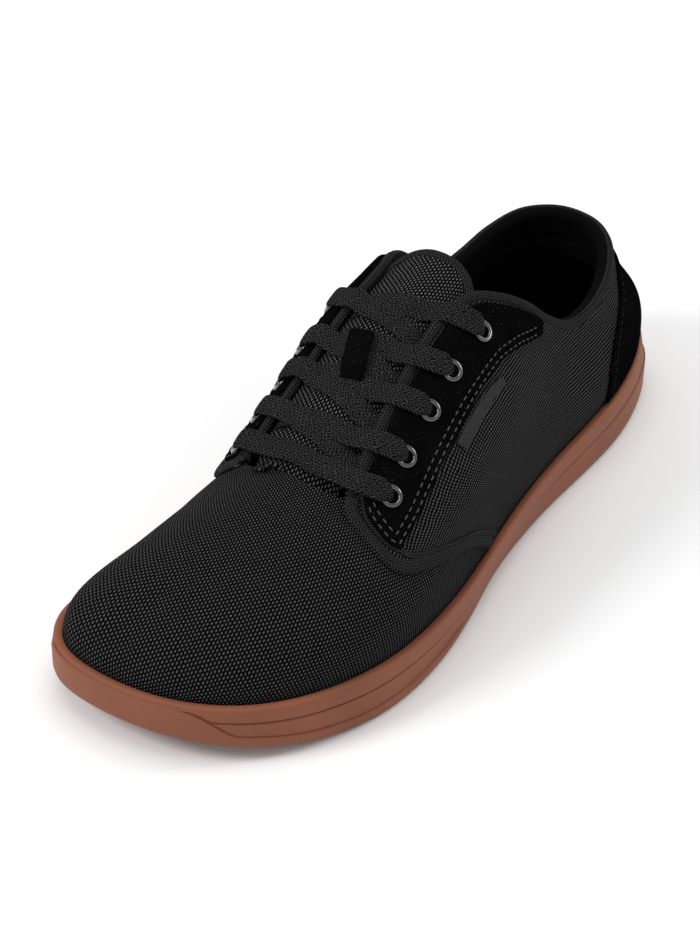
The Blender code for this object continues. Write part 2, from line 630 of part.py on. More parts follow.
def upper():
    """Hollow shell open at the collar and throat, closed along its spine over the toes."""
    rows = ring_rows()
    half = len(COLUMNS) - 1
    folded = [i for i in range(half + 1) if COLUMNS[i] >= SPINE_ROW]

    def fold(ring):
        for i in folded[:-1]:
            other = 2 * half - i
            ring[i] = ring[other] = (ring[i] + ring[other]) / 2
        return ring

    share = rim_share(rows)
    plan, _ = OUTLINE_CURVE.at(share)
    inset = rim_inset(plan[:, 0]) + SOLE_WALL + GAP

    def foot(more):
        at, _ = OUTLINE_CURVE.at(share, inset + more)
        return np.column_stack([at, tread_height(at[:, 0]) + SOLE_FLOOR + GAP])

    rings = [foot(0)]
    for up in OUTER_UPS:
        ring = upper_point(rows, up, outer_step(rows, np.full(len(rows), up)))
        rings.append(fold(ring) if up == 1 else ring)
    for up in INNER_UPS:
        ups = np.full(len(rows), up)
        thick = wall(rows, ups)
        if up == 1:
            thick = np.where(thick > VAMP_WALL, 0.75 * thick, thick)
        ring = upper_point(rows, up, -thick)
        rings.append(fold(ring) if up == 1 else ring)
    rings += [foot(VAMP_WALL), foot(0)]
    top_band = len(OUTER_UPS)
    open_columns = len(COLUMNS) - len(folded)

    def skip(band, i):
        lateral = i if i < half else 2 * half - 1 - i
        return band == top_band and lateral >= open_columns

    return ring_loft("upper", rings, skip)


def overlay_grid(rows, ups, base, thickness, edge_drop=OVERLAY_ROUND):
    """Outer and inner grids of an overlay on the upper, base off its surface."""
    drop = lowered_edges(edge_drop, *rows.shape)
    base = base + OVERLAY_CLEARANCE
    return (upper_point(rows, ups, base + thickness - drop), upper_point(rows, ups, base + 0 * drop))


def on_side(rows, sign):
    """Lateral rows for sign 1, and the same rows counted on the medial side for -1."""
    return rows if sign > 0 else 2 * LAST_ROW - rows


def eyestay(sign):
    """Suede strip along one side of the throat."""
    edge = table(STAY_COLUMNS, STAY)
    rows = np.linspace(edge["row"][0], edge["row"][-1], 15)
    low = smooth_table(edge["row"], edge["edge"], rows)
    part = np.linspace(0, 1, 4)
    ups = low[:, None] + (STAY_TOP - low[:, None]) * part
    grid = np.repeat(rows[:, None], len(part), 1)
    return slab("eyestay", *overlay_grid(on_side(grid, sign), ups, QUARTER_STEP, OVERLAY))


def heel_counter():
    """Suede overlay round the heel, cut back towards its top."""
    edge = table(COUNTER_COLUMNS, COUNTER)
    ups = np.linspace(edge["up"][0], edge["up"][-1], 7)
    front = smooth_table(edge["up"], edge["row"], ups)
    part = np.linspace(-1, 1, 27)
    rows = front[:, None] * part
    grid = np.repeat(ups[:, None], len(part), 1)
    return slab("heel_counter", *overlay_grid(rows, grid, QUARTER_STEP, OVERLAY))


def side_label():
    """Small woven tab on the lateral quarter, below the stay."""
    rows = table(LABEL_COLUMNS, LABEL)
    part = np.linspace(0, 1, 6)
    across = np.linspace(0, 1, 3)
    along = rows["row"][0] + (rows["row"][1] - rows["row"][0]) * part
    low = rows["low"][0] + (rows["low"][1] - rows["low"][0]) * part
    high = rows["high"][0] + (rows["high"][1] - rows["high"][0]) * part
    ups = low[:, None] + (high - low)[:, None] * across
    grid = np.repeat(along[:, None], len(across), 1)
    return slab("side_label", *overlay_grid(grid, ups, QUARTER_STEP, LABEL_THICKNESS, LABEL_ROUND))


TONGUE_TABLE = table(TONGUE_COLUMNS, TONGUE)


def tongue_point(along, across, out=0.0):
    """Point of the tongue's outer face. along: share of LENGTH, across: -1 medial to 1 lateral."""
    along, across = np.broadcast_arrays(np.asarray(along, float), np.asarray(across, float))

    def column(name):
        return smooth_table(TONGUE_TABLE["along"][::-1], TONGUE_TABLE[name][::-1], along)

    radius = column("radius") * BALL_WIDTH
    swing = np.arcsin(column("half_width") / column("radius")) * across
    y = column("middle") * BALL_WIDTH + (radius + out) * np.sin(swing)
    z = column("crest") * INSTEP_HEIGHT - radius + (radius + out) * np.cos(swing)
    x = (along - 0.5) * LENGTH
    return np.stack([x - OUTLINE_CURVE.middle[0], y - OUTLINE_CURVE.middle[1], z], -1)


def tongue():
    """Curved tongue from under the vamp to above the collar."""
    along = np.linspace(TONGUE_TABLE["along"][0], TONGUE_TABLE["along"][-1], 14)[:, None]
    across = np.linspace(-1, 1, TONGUE_ACROSS)
    drop = lowered_edges(TONGUE_ROUND, len(along), len(across))
    return slab("tongue", tongue_point(along, across, -drop),
                tongue_point(along, across, -TONGUE_WALL + 0.5 * drop))


def lace_keeper():
    """Suede loop on the tongue, over the second crossing of the laces."""
    part = np.linspace(0, 1, 9)
    along = (KEEPER_FROM + (KEEPER_TO - KEEPER_FROM) * part)[:, None]
    bridge = np.minimum(1, KEEPER_STEEPNESS * np.sin(math.pi * part))[:, None]
    lift = GAP + KEEPER_LIFT * LACE_THICKNESS * bridge
    half = KEEPER_WIDTH / 2 / (BALL_WIDTH * KEEPER_REACH)
    across = KEEPER_ASIDE + np.linspace(-half, half, 4)
    return slab("lace_keeper", tongue_point(along, across, lift + KEEPER_THICKNESS),
                tongue_point(along, across, lift))


def eyelet_frame(level, sign):
    """Centre on the stay's outer face, and the axes there: along the stay, up it, and out."""
    row, up = EYELETS[sign][level]
    row = on_side(np.array([row]), sign)
    out = QUARTER_STEP + OVERLAY_CLEARANCE + OVERLAY
    centre = upper_point(row, up, out)[0]
    outward = upper_point(row, up, out + MM)[0] - centre
    outward /= np.linalg.norm(outward)
    upward = upper_point(row, up + 0.02, out)[0] - centre
    upward -= outward * upward.dot(outward)
    upward /= np.linalg.norm(upward)
    return centre, np.cross(upward, outward), upward, outward


def strip_start(level, sign):
    """Where a lace strip begins, beside its eyelet and clear of the stay."""
    centre, _, upward, outward = eyelet_frame(level, sign)
    return centre + upward * (EYELET_FLANGE / 2 + STRIP_CLEARANCE) + outward * STRIP_LIFT


def arched(start, end, lift):
    """Centre line of a strip from start to end over the tongue's crown."""
    t = np.linspace(0, 1, LACE_STEPS + 1)[:, None]
    path = start * (1 - t) + end * t
    rails = [upper_point(on_side(np.linspace(COLLAR_FRONT_ROW, THROAT_CORNER_ROW, 25), sign), 1.0)
             for sign in (-1, 1)]
    medial, lateral = [[np.interp(path[:, 0], rail[:, 0], rail[:, k]) for k in (1, 2)]
                       for rail in rails]
    part = np.clip((path[:, 1] - medial[0]) / (lateral[0] - medial[0]), 0, 1)
    across = medial[1] + (lateral[1] - medial[1]) * part
    crest = tongue_point(path[:, 0] / LENGTH + 0.5, 0.0)[..., 2]
    height = np.maximum(across + RAIL_CLEARANCE, crest + GAP) + (0.5 + lift) * LACE_THICKNESS
    path[1:-1, 2] = np.maximum(path[:, 2], height)[1:-1]
    return path


def lace_paths():
    """Centre lines of all strips, from the bar up to the collar."""
    last = LEVELS - 1
    bar = arched(strip_start(last, -1), strip_start(last, 1), BAR_LIFT)
    below = {-1: bar, 1: bar[::-1]}
    paths = [bar]
    for level in range(last - 1, -1, -1):
        here = {}
        for sign, lift in STRIP_LIFTS.items():
            tuck = below[-sign][round(TUCK_SHARE * LACE_STEPS)]
            tuck = tuck - [0, 0, TUCK_DEPTH * LACE_THICKNESS * (level < last - 1)]
            here[sign] = arched(strip_start(level, sign), tuck, lift)
            paths.append(here[sign])
        below = here
    return paths


def lace_strip(path):
    """Flat strip along a path, lying across the instep's slope."""
    along = np.gradient(path, axis=0)
    along /= np.linalg.norm(along, axis=1, keepdims=True)
    across = np.array([1, 0, INSTEP_FALL])
    out = np.cross(along, across)
    out *= np.where(out[:, 2:] < 0, -1, 1)
    out /= np.linalg.norm(out, axis=1, keepdims=True)
    across = np.cross(out, along)
    across /= np.linalg.norm(across, axis=1, keepdims=True)
    grids = []
    for face in (0.5, -0.5):
        edges = [path + across * LACE_WIDTH * side + out * LACE_THICKNESS * face for side in (-0.5, 0.5)]
        grids.append(np.stack(edges, 1))
    return slab("lace_strip", *grids)


def join(obj, others, operation):
    """Boolean of obj with the others in turn, applied."""
    for other in others:
        step = obj.modifiers.new("join", "BOOLEAN")
        step.operation = operation
        step.object = other
    bpy.context.view_layer.update()
    mesh = bpy.data.meshes.new_from_object(obj.evaluated_get(bpy.context.evaluated_depsgraph_get()))
    obj.modifiers.clear()
    obj.data = mesh


def eyelet_mesh():
    """Turned eyelet: a flange on the stay's face and a barrel through stay and wall."""
    bore, barrel, flange = EYELET_BORE / 2, EYELET_BARREL / 2, EYELET_FLANGE / 2
    profile = ((bore, -EYELET_LENGTH), (barrel, -EYELET_LENGTH), (barrel, GAP),
               (flange, GAP), (flange - EYELET_ROUND, GAP + EYELET_RIM * 0.7),
               (flange - EYELET_CROWN, GAP + EYELET_RIM), (bore, GAP + EYELET_RIM * 0.4))
    steps = 10
    rings = []
    for k in range(steps):
        angle = 2 * math.pi * k / steps
        rings.append(np.array([(r * math.cos(angle), r * math.sin(angle), z) for r, z in profile]))
    return ring_loft("eyelet", rings + rings[:1])


def punch_mesh():
    """Cylinder that clears an eyelet's barrel through stay and wall."""
    mesh = bpy.data.meshes.new("punch")
    bm = bmesh.new()
    radius = EYELET_BARREL / 2 + GAP
    bmesh.ops.create_cone(bm, cap_ends=True, segments=12, radius1=radius, radius2=radius,
                          depth=PUNCH_LENGTH)
    bm.to_mesh(mesh)
    bm.free()
    return mesh


def hide(obj):
    """Keeps a cutter out of the picture."""
    obj.hide_render = True
    obj.display_type = "WIRE"


def main():
    for obj in list(bpy.data.objects):
        bpy.data.objects.remove(obj)
    scene = bpy.context.scene.collection
    parts = bpy.data.collections.new("barefoot_shoe")
    cutters = bpy.data.collections.new("cutters")
    scene.children.link(parts)
    scene.children.link(cutters)

    rubber = material("gum_rubber", (0.36, 0.13, 0.065), 0.5)
    knit = material("black_knit", (0.018, 0.018, 0.02), 0.9)
    suede = material("black_suede", (0.01, 0.01, 0.011), 0.95)
    lining = material("black_lining", (0.012, 0.012, 0.013), 0.9)
    cord = material("lace_cord", (0.022, 0.022, 0.024), 0.85)
    metal = material("gunmetal", (0.12, 0.12, 0.125), 0.3, 0.9)
    woven = material("label_tape", (0.03, 0.03, 0.032), 0.8)

    new_object("outsole", outsole(), parts, rubber)
    new_object("insole", insole(), parts, lining)
    shell = new_object("upper", upper(), parts, knit)
    new_object("tongue", tongue(), parts, knit)
    new_object("heel_counter", heel_counter(), parts, suede)
    new_object("side_label", side_label(), parts, woven)
    new_object("lace_keeper", lace_keeper(), parts, suede)
    stays = {1: new_object("eyestay_lateral", eyestay(1), parts, suede),
             -1: new_object("eyestay_medial", eyestay(-1), parts, suede)}

    ring = eyelet_mesh()
    ring.materials.append(metal)
    ring.shade_smooth()
    ring.set_sharp_from_angle(angle=SHARP_ANGLE)
    for sign, side_name in ((1, "lateral"), (-1, "medial")):
        punches = []
        for level in range(LEVELS):
            centre, along, upward, outward = eyelet_frame(level, sign)
            eyelet = bpy.data.objects.new(f"eyelet_{side_name}_{level + 1}", ring)
            parts.objects.link(eyelet)
            matrix = np.eye(4)
            matrix[:3, 0], matrix[:3, 1], matrix[:3, 2], matrix[:3, 3] = along, upward, outward, centre
            eyelet.matrix_world = Matrix(matrix)
            punch = new_object(f"punch_{side_name}_{level + 1}", punch_mesh(), cutters)
            punch.matrix_world = Matrix(matrix)
            hide(punch)
            punches.append(punch)
        join(stays[sign], punches, "DIFFERENCE")
        join(shell, punches, "DIFFERENCE")

    strips = []
    for i, path in enumerate(lace_paths()):
        strip = new_object(f"strip_{i}", lace_strip(path), cutters)
        hide(strip)
        strips.append(strip)
    laces = new_object("laces", strips[0].data.copy(), parts, cord)
    join(laces, strips[1:], "UNION")


main()
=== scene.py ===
"""Looks of the left barefoot shoe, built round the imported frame.

+X points to the toe, +Y to the shoe's outer side, +Z up, in metres.
"""
import math

import bmesh
import bpy
import numpy as np
from mathutils import Matrix


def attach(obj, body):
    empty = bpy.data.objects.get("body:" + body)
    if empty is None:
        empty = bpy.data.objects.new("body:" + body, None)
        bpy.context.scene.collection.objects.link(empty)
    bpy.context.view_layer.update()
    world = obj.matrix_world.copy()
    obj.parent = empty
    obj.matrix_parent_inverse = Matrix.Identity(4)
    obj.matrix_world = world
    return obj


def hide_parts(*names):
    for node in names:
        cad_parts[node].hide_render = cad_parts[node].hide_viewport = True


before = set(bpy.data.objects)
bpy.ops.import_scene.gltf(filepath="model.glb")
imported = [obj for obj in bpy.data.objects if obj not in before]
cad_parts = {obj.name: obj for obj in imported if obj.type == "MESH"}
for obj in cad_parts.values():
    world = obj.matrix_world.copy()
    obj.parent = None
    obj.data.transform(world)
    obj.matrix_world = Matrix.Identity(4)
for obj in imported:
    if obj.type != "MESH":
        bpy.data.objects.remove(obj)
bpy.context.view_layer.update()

MM = 0.001

# Driving sizes, the same as the solids'
LENGTH = 290 * MM
BALL_WIDTH = 104 * MM
HEEL_HEIGHT = 69 * MM
INSTEP_HEIGHT = 100 * MM
TOE_HEIGHT = 44 * MM
RIM_HEIGHT = 21 * MM
TOE_SPRING = 10 * MM
SOLE_FLOOR = 6 * MM
SOLE_WALL = 2.8 * MM
GROOVE_DEPTH = 0.7 * MM
LIP_STEP = 0.6 * MM
LIP_HEIGHT = 5.0 * MM
VAMP_WALL = 2.0 * MM
QUARTER_STEP = 1.0 * MM
COLLAR_PAD = 3.0 * MM
STAY_OUT = 1.5 * MM
EYELET_OUT = 2.45 * MM
TONGUE_WALL = 2.4 * MM
LACE_WIDTH = 8.2 * MM
LACE_THICKNESS = 1.6 * MM
GAP = 0.3 * MM

# Plan outline of the sole: share of LENGTH from the heel, shares of BALL_WIDTH to each side
OUTLINE = np.array((
    (0.000, 0.000, 0.000), (0.019, 0.207, 0.195), (0.086, 0.322, 0.310), (0.190, 0.385, 0.340),
    (0.310, 0.399, 0.335), (0.431, 0.431, 0.350), (0.550, 0.495, 0.390), (0.672, 0.548, 0.440),
    (0.776, 0.538, 0.458), (0.860, 0.462, 0.464), (0.931, 0.332, 0.458), (0.981, 0.132, 0.360),
    (1.000, -0.150, 0.150)))

# Side of the sole: share of LENGTH, lift of the tread, rim, groove, and how far the rim and
# the lower band are drawn in
SIDE = np.array((
    (0.000, 0.24, 1.18, 0.55, 1.20, 0.00), (0.050, 0.04, 1.14, 0.58, 1.00, 0.00),
    (0.110, 0.00, 1.08, 0.60, 0.60, 0.00), (0.280, 0.00, 0.97, 0.62, 0.10, 0.15),
    (0.400, 0.06, 0.92, 0.58, 0.00, 0.45), (0.500, 0.07, 0.90, 0.52, 0.00, 0.80),
    (0.580, 0.03, 0.91, 0.58, 0.00, 0.45), (0.680, 0.00, 0.96, 0.64, 0.05, 0.10),
    (0.780, 0.00, 1.00, 0.66, 0.10, 0.00), (0.860, 0.16, 1.02, 0.66, 0.15, 0.00),
    (0.930, 0.52, 1.06, 0.66, 0.30, 0.00), (1.000, 1.00, 1.12, 0.66, 0.45, 0.00)))
SIDE_COLUMNS = ("along", "lift", "rim", "groove", "rim_in", "band_in")

# Upper's sections from the heel's back to the toe's tip
SECTION_COLUMNS = ("rim", "top_along", "lateral", "medial", "heel", "instep", "toe", "drop",
                   "lean", "slope", "fall", "full", "medial_full")
SECTIONS = np.array((
    (0.000, 0.066, -0.03, 0.030, 1.000, 0.000, 0.000, 0.00, 6, 82, 0.00, 1.00, 1.00),
    (0.055, 0.074, 0.075, 0.130, 0.995, 0.000, 0.000, 0.00, 6, 82, 0.00, 1.00, 1.00),
    (0.115, 0.100, 0.165, 0.225, 0.970, 0.000, 0.000, 0.00, 6, 82, 0.00, 1.00, 1.00),
    (0.185, 0.145, 0.235, 0.278, 0.920, 0.000, 0.000, 0.00, 6, 82, 0.00, 1.00, 1.00),
    (0.240, 0.203, 0.275, 0.290, 0.885, 0.000, 0.000, 0.00, 6, 80, 0.00, 1.00, 1.00),
    (0.295, 0.262, 0.282, 0.284, 0.460, 0.310, 0.000, 0.00, 4, 78, 0.00, 1.00, 1.00),
    (0.345, 0.314, 0.276, 0.272, 0.000, 0.730, 0.000, 0.00, 2, 72, 0.00, 1.00, 0.95),
    (0.390, 0.359, 0.258, 0.250, 0.000, 0.855, 0.000, 0.00, 0, 62, 0.00, 1.00, 0.90),
    (0.425, 0.400, 0.225, 0.218, 0.000, 0.940, 0.000, 0.01, 0, 52, -0.05, 1.00, 0.85),
    (0.460, 0.441, 0.178, 0.172, 0.000, 0.985, 0.000, 0.02, 0, 44, -0.15, 1.00, 0.80),
    (0.495, 0.497, 0.168, 0.158, 0.000, 0.975, 0.000, 0.03, 0, 42, -0.35, 1.00, 0.75),
    (0.540, 0.559, 0.183, 0.158, 0.000, 0.905, 0.000, 0.04, 2, 42, -0.45, 1.00, 0.72),
    (0.585, 0.621, 0.207, 0.160, 0.000, 0.820, 0.000, 0.05, 4, 46, -0.45, 1.00, 0.62),
    (0.625, 0.676, 0.235, 0.162, 0.000, 0.740, 0.000, 0.05, 6, 46, -0.48, 1.00, 0.56),
    (0.660, 0.717, 0.254, 0.162, 0.000, 0.665, 0.000, 0.05, 7, 42, -0.45, 1.00, 0.46),
    (0.682, 0.731, 0.175, 0.100, 0.000, 0.680, 0.000, 0.03, 7, 24, -0.43, 0.98, 0.44),
    (0.705, 0.735, 0.105, 0.035, 0.000, 0.690, 0.000, 0.01, 7, 10, -0.42, 0.96, 0.46),
    (0.730, 0.735, 0.035, -0.035, 0.000, 0.690, 0.000, 0.00, 7, 0, -0.42, 0.95, 0.50),
    (0.760, 0.766, 0.020, -0.020, 0.000, 0.600, 0.110, 0.00, 7, 0, -0.46, 0.95, 0.56),
    (0.792, 0.797, 0.005, -0.005, 0.000, 0.500, 0.240, 0.00, 6, 0, -0.48, 0.95, 0.64),
    (0.827, 0.826, -0.015, 0.015, 0.000, 0.400, 0.370, 0.00, 6, 0, -0.50, 0.95, 0.74),
    (0.865, 0.852, -0.035, 0.035, 0.000, 0.300, 0.510, 0.00, 5, 0, -0.52, 0.95, 0.82),
    (0.907, 0.872, -0.055, 0.055, 0.000, 0.200, 0.670, 0.00, 4, 0, -0.52, 0.95, 0.86),
    (0.952, 0.888, -0.075, 0.075, 0.000, 0.100, 0.835, 0.00, 3, 0, -0.52, 0.95, 0.90),
    (1.000, 0.900, -0.090, 0.090, 0.000, 0.000, 1.000, 0.00, 3, 0, -0.50, 0.95, 0.95)))
LAST_ROW = len(SECTIONS) - 1
RING = 2 * LAST_ROW
COLLAR_FRONT_ROW = 8.6
COLLAR_FADE_ROWS = 2.5
THROAT_CORNER_ROW = 14
SPINE_ROW = 17
# Front edge of the quarters: height by how many rows it lies behind the throat's corner
FRONT_EDGE = np.array((
    (0.00, 4.15), (0.09, 3.35), (0.21, 2.40), (0.32, 1.48), (0.43, 0.70), (0.54, 0.08),
    (0.63, -0.28), (0.75, -0.58), (0.87, -0.62), (0.96, -0.35), (1.00, 0.00)))
SHEAR_FROM_ROW = 5
ELLIPSE = 1.657

# Lower edges of the eyestays by row, and the places of the eyelets, as rows and heights
STAY = np.array(((6.45, 0.913), (7.00, 0.866), (7.60, 0.829), (8.30, 0.782), (8.90, 0.744),
                 (9.50, 0.722), (10.30, 0.706), (10.90, 0.693), (11.70, 0.668), (12.50, 0.646),
                 (13.35, 0.637)))
STAY_TOP = 0.975
EYELETS = {
    1: ((8.86, 0.895), (10.02, 0.876), (10.83, 0.869), (11.75, 0.863), (12.54, 0.836)),
    -1: ((9.80, 0.872), (10.74, 0.874), (11.46, 0.876), (12.22, 0.872), (12.95, 0.862)),
}
LEVELS = len(EYELETS[1])
# Rows where each strip crosses its own throat edge, and rows where it goes under the other one
LACE_OVER = {1: (9.82, 10.88, 11.68, 12.64, 13.55), -1: (10.24, 11.04, 11.72, 12.62, 13.46)}
LACE_UNDER = {1: (10.60, 11.50, 12.32, 13.24), -1: (10.40, 11.10, 11.85, 12.85)}
# Front edge of the heel counter: row by height
COUNTER = np.array(((0.03, 3.80), (0.25, 3.75), (0.50, 3.40), (0.64, 2.90), (0.76, 2.45),
                    (0.88, 2.20)))
# Both ends of the side label: row, lower and upper edge
LABEL = ((8.60, 0.663, 0.706), (10.70, 0.602, 0.679))
# Tongue: share of LENGTH; middle, half width and radius by BALL_WIDTH; crest by INSTEP_HEIGHT
TONGUE = np.array((
    (0.404, 0.004, 0.165, 0.222, 1.040), (0.441, 0.010, 0.175, 0.240, 1.015),
    (0.497, 0.018, 0.180, 0.245, 0.985), (0.559, 0.026, 0.180, 0.255, 0.910),
    (0.621, 0.034, 0.178, 0.270, 0.825), (0.660, 0.038, 0.175, 0.290, 0.765),
    (0.700, 0.040, 0.165, 0.300, 0.700), (0.735, 0.036, 0.140, 0.200, 0.634),
    (0.762, 0.034, 0.115, 0.192, 0.588)))
# Ends of the lace keeper by share of LENGTH, and how far aside it lies
KEEPER_FROM = 0.552
KEEPER_TO = 0.609
KEEPER_ASIDE = 0.03
FRONT_ROW = 13.86     # row of the quarters' bound front edge
VAMP_FROM_ROW = 13.2
QUARTERS_TO_ROW = 13.92
LINING_TO_ROW = 13.3
BUMPER_FROM = 0.455   # where the toe bumper starts, as a share of LENGTH from the middle
STITCH_PITCH = 3.2 * MM


def hermite(f, start, start_slope, end, end_slope):
    """Cubic from start at f 0 to end at f 1."""
    return ((2 * f**3 - 3 * f**2 + 1) * start + (f**3 - 2 * f**2 + f) * start_slope
            + (3 * f**2 - 2 * f**3) * end + (f**3 - f**2) * end_slope)


def ring_spline(values, at):
    """Smooth closed curve through values, one for each whole number of at."""
    low = np.floor(at).astype(int)
    f = at - low
    if values.ndim > 1:
        f = f[..., None]
    p0, p1, p2, p3 = (values[(low + k) % len(values)] for k in (-1, 0, 1, 2))
    return hermite(f, p1, (p2 - p0) / 2, p2, (p3 - p1) / 2)


def curve_through(xs, ys, slopes, at):
    """Open curve through a column's values, with a slope given for each."""
    i = np.clip(np.searchsorted(xs, at, side="right") - 1, 0, len(xs) - 2)
    h = xs[i + 1] - xs[i]
    return hermite((at - xs[i]) / h, ys[i], h * slopes[i], ys[i + 1], h * slopes[i + 1])


def smooth_table(table, at, column=1):
    """Smooth open curve through a table's column against its first, with no overshoot."""
    xs, ys = table[:, 0], table[:, column]
    slope = np.diff(ys) / np.diff(xs)
    m = np.zeros(len(xs))
    same = slope[:-1] * slope[1:] > 0
    m[1:-1][same] = 2 * slope[:-1][same] * slope[1:][same] / (slope[:-1] + slope[1:])[same]
    m[0], m[-1] = slope[0], slope[-1]
    return curve_through(xs, ys, m, np.clip(at, xs[0], xs[-1]))


def closed_cubic(points, per_span):
    """Periodic cubic spline by chord length through plan points, sampled densely."""
    after, one = np.roll(points, -1, 0), np.eye(len(points))
    h = np.linalg.norm(after - points, axis=1)[:, None]
    before = np.roll(h, 1, 0)
    slope = (after - points) / h
    matrix = 2 * (before + h) * one + before * np.roll(one, -1, 1) + h * np.roll(one, 1, 1)
    bend = np.linalg.solve(matrix, 6 * (slope - np.roll(slope, 1, 0)))
    bend_after = np.roll(bend, -1, 0)
    u = np.linspace(0, 1, per_span, endpoint=False)[:, None, None] * h
    a = h - u
    spans = ((bend * a**3 + bend_after * u**3) / (6 * h) + (points / h - bend * h / 6) * a
             + (after / h - bend_after * h / 6) * u)
    return spans.transpose(1, 0, 2).reshape(-1, 2)


def unit(v):
    """Vectors at length 1."""
    return v / np.linalg.norm(v, axis=-1, keepdims=True)


def both_sides(lateral, medial):
    """Lateral values out to the toe, then medial values back."""
    return np.concatenate([lateral, medial[-2:0:-1]])


def arc_lengths(grid, axis):
    """Running length along one axis of a grid of points, from 0 at its start."""
    step = np.linalg.norm(np.diff(grid, axis=axis), axis=-1)
    pad = [(0, 0)] * step.ndim
    pad[axis] = (1, 0)
    return np.cumsum(np.pad(step, pad), axis=axis)


def sampled(at, known, columns):
    """Columns known at some places, read at others."""
    return np.stack([np.interp(at, known, column) for column in columns.T], -1)


class Outline:
    """The sole's plan outline, by share of arc: 0 heel, 0 to 1 lateral, 1 toe, 1 to 2 medial."""

    def __init__(self):
        x = (OUTLINE[:, 0] - 0.5) * LENGTH
        lateral = np.column_stack([x, OUTLINE[:, 1] * BALL_WIDTH])
        medial = np.column_stack([x, -OUTLINE[:, 2] * BALL_WIDTH])
        per_span = 160
        dense = closed_cubic(both_sides(lateral, medial), per_span)
        self.middle = (dense.max(0) + dense.min(0)) / 2
        dense -= self.middle
        toe = (len(OUTLINE) - 1) * per_span
        self.dense = np.vstack([dense, dense[:1]])
        step = arc_lengths(self.dense, 0)
        self.share = np.where(step <= step[toe], step / step[toe],
                              1 + (step - step[toe]) / (step[-1] - step[toe]))
        reach = 5
        wide = np.vstack([self.dense[-1 - reach:-1], self.dense, self.dense[1:1 + reach]])
        tangent = wide[2 * reach:] - wide[:-2 * reach]
        self.normal = unit(np.column_stack([-tangent[:, 1], tangent[:, 0]]))

    def at(self, share, inset=0.0):
        """Plan points and outward normals at shares of arc, moved in by inset."""
        share = np.mod(share, 2.0)
        normal = unit(sampled(share, self.share, self.normal))
        return sampled(share, self.share, self.dense) - normal * np.asarray(inset)[..., None], normal


CURVE = Outline()


def side(name, x):
    """A column of the sole's side table at x."""
    return smooth_table(SIDE, x / LENGTH + 0.5, SIDE_COLUMNS.index(name))


def tread_height(x):
    """Height of the sole's underside."""
    return side("lift", x) * TOE_SPRING


def rim_height(x):
    """Height of the sole's rim."""
    return side("rim", x) * RIM_HEIGHT


def rim_inset(x):
    """How far the rim lies inside the plan outline."""
    return side("rim_in", x) * SOLE_WALL


def section_rings():
    """Every section column as a ring: lateral rows out to the toe, then medial rows back."""
    t = dict(zip(SECTION_COLUMNS, SECTIONS.T))
    rings = {name: both_sides(t[name], t[name]) for name in ("lean", "slope", "fall")}
    rings["full"] = both_sides(t["full"], t["medial_full"])
    rings["arc_ahead"] = both_sides(t["rim"], 2 - t["rim"]) - np.arange(RING) / LAST_ROW
    top_x = (t["top_along"] - 0.5) * LENGTH
    top_z = t["heel"] * HEEL_HEIGHT + t["instep"] * INSTEP_HEIGHT + t["toe"] * TOE_HEIGHT
    lateral = np.column_stack([top_x, t["lateral"] * BALL_WIDTH, top_z])
    medial = np.column_stack([top_x, -t["medial"] * BALL_WIDTH, top_z - t["drop"] * INSTEP_HEIGHT])
    rings["top"] = both_sides(lateral, medial) - [*CURVE.middle, 0]
    return rings


RINGS = section_rings()


def last_surface(row, up):
    """Point of the upper's surface. row: 0 to RING round the shoe, up: 0 rim, 1 top."""
    row, up = np.broadcast_arrays(np.asarray(row, float), np.asarray(up, float))
    share = row / LAST_ROW + ring_spline(RINGS["arc_ahead"], row)
    plan, normal = CURVE.at(share)
    plan, normal = CURVE.at(share, rim_inset(plan[..., 0]) + SOLE_WALL + GAP)
    rim = np.concatenate([plan, rim_height(plan[..., 0])[..., None]], -1)
    top = ring_spline(RINGS["top"], row)
    lean = np.radians(ring_spline(RINGS["lean"], row))[..., None]
    start = np.concatenate([normal * np.sin(lean), np.cos(lean)], -1)
    inward = top[..., :2] - rim[..., :2]
    across = np.linalg.norm(inward, axis=-1, keepdims=True)
    inward = inward / across
    slope = np.radians(ring_spline(RINGS["slope"], row))
    rise = np.tan(slope) + inward[..., 0] * ring_spline(RINGS["fall"], row)
    end = unit(np.concatenate([inward, rise[..., None]], -1))
    height = (top - rim)[..., 2:]
    full = ring_spline(RINGS["full"], row)[..., None] * ELLIPSE
    reach = across * np.linalg.norm(end[..., :2], axis=-1, keepdims=True) + height * end[..., 2:]
    return hermite(up[..., None], rim, start * full * height, top, end * full * reach)


def lateral_row(row):
    """Row counted on the lateral side, for a row anywhere round the ring."""
    row = np.mod(row, RING)
    return np.where(row <= LAST_ROW, row, RING - row)


def sheared(row, up):
    """Row that a mesh column follows, so that one column runs along the quarter's front edge."""
    row = np.mod(row, RING)
    back = smooth_table(FRONT_EDGE, up)
    lateral = lateral_row(row)
    behind = np.clip((lateral - SHEAR_FROM_ROW) / (THROAT_CORNER_ROW - SHEAR_FROM_ROW), 0, 1)
    ahead = np.clip((LAST_ROW - lateral) / (LAST_ROW - THROAT_CORNER_ROW), 0, 1)
    moved = lateral - back * np.minimum(behind, ahead)
    return np.where(row <= LAST_ROW, moved, RING - moved)


def upper_normal(row, up):
    """Outward direction of the upper's surface."""
    row_step, up_step = 0.02, 0.01
    along = (last_surface(sheared(row + row_step, up), up)
             - last_surface(sheared(row - row_step, up), up))
    upward = (last_surface(sheared(row, up), np.minimum(up + up_step, 1))
              - last_surface(sheared(row, up), np.maximum(up - up_step, 0)))
    return unit(np.cross(upward, along))


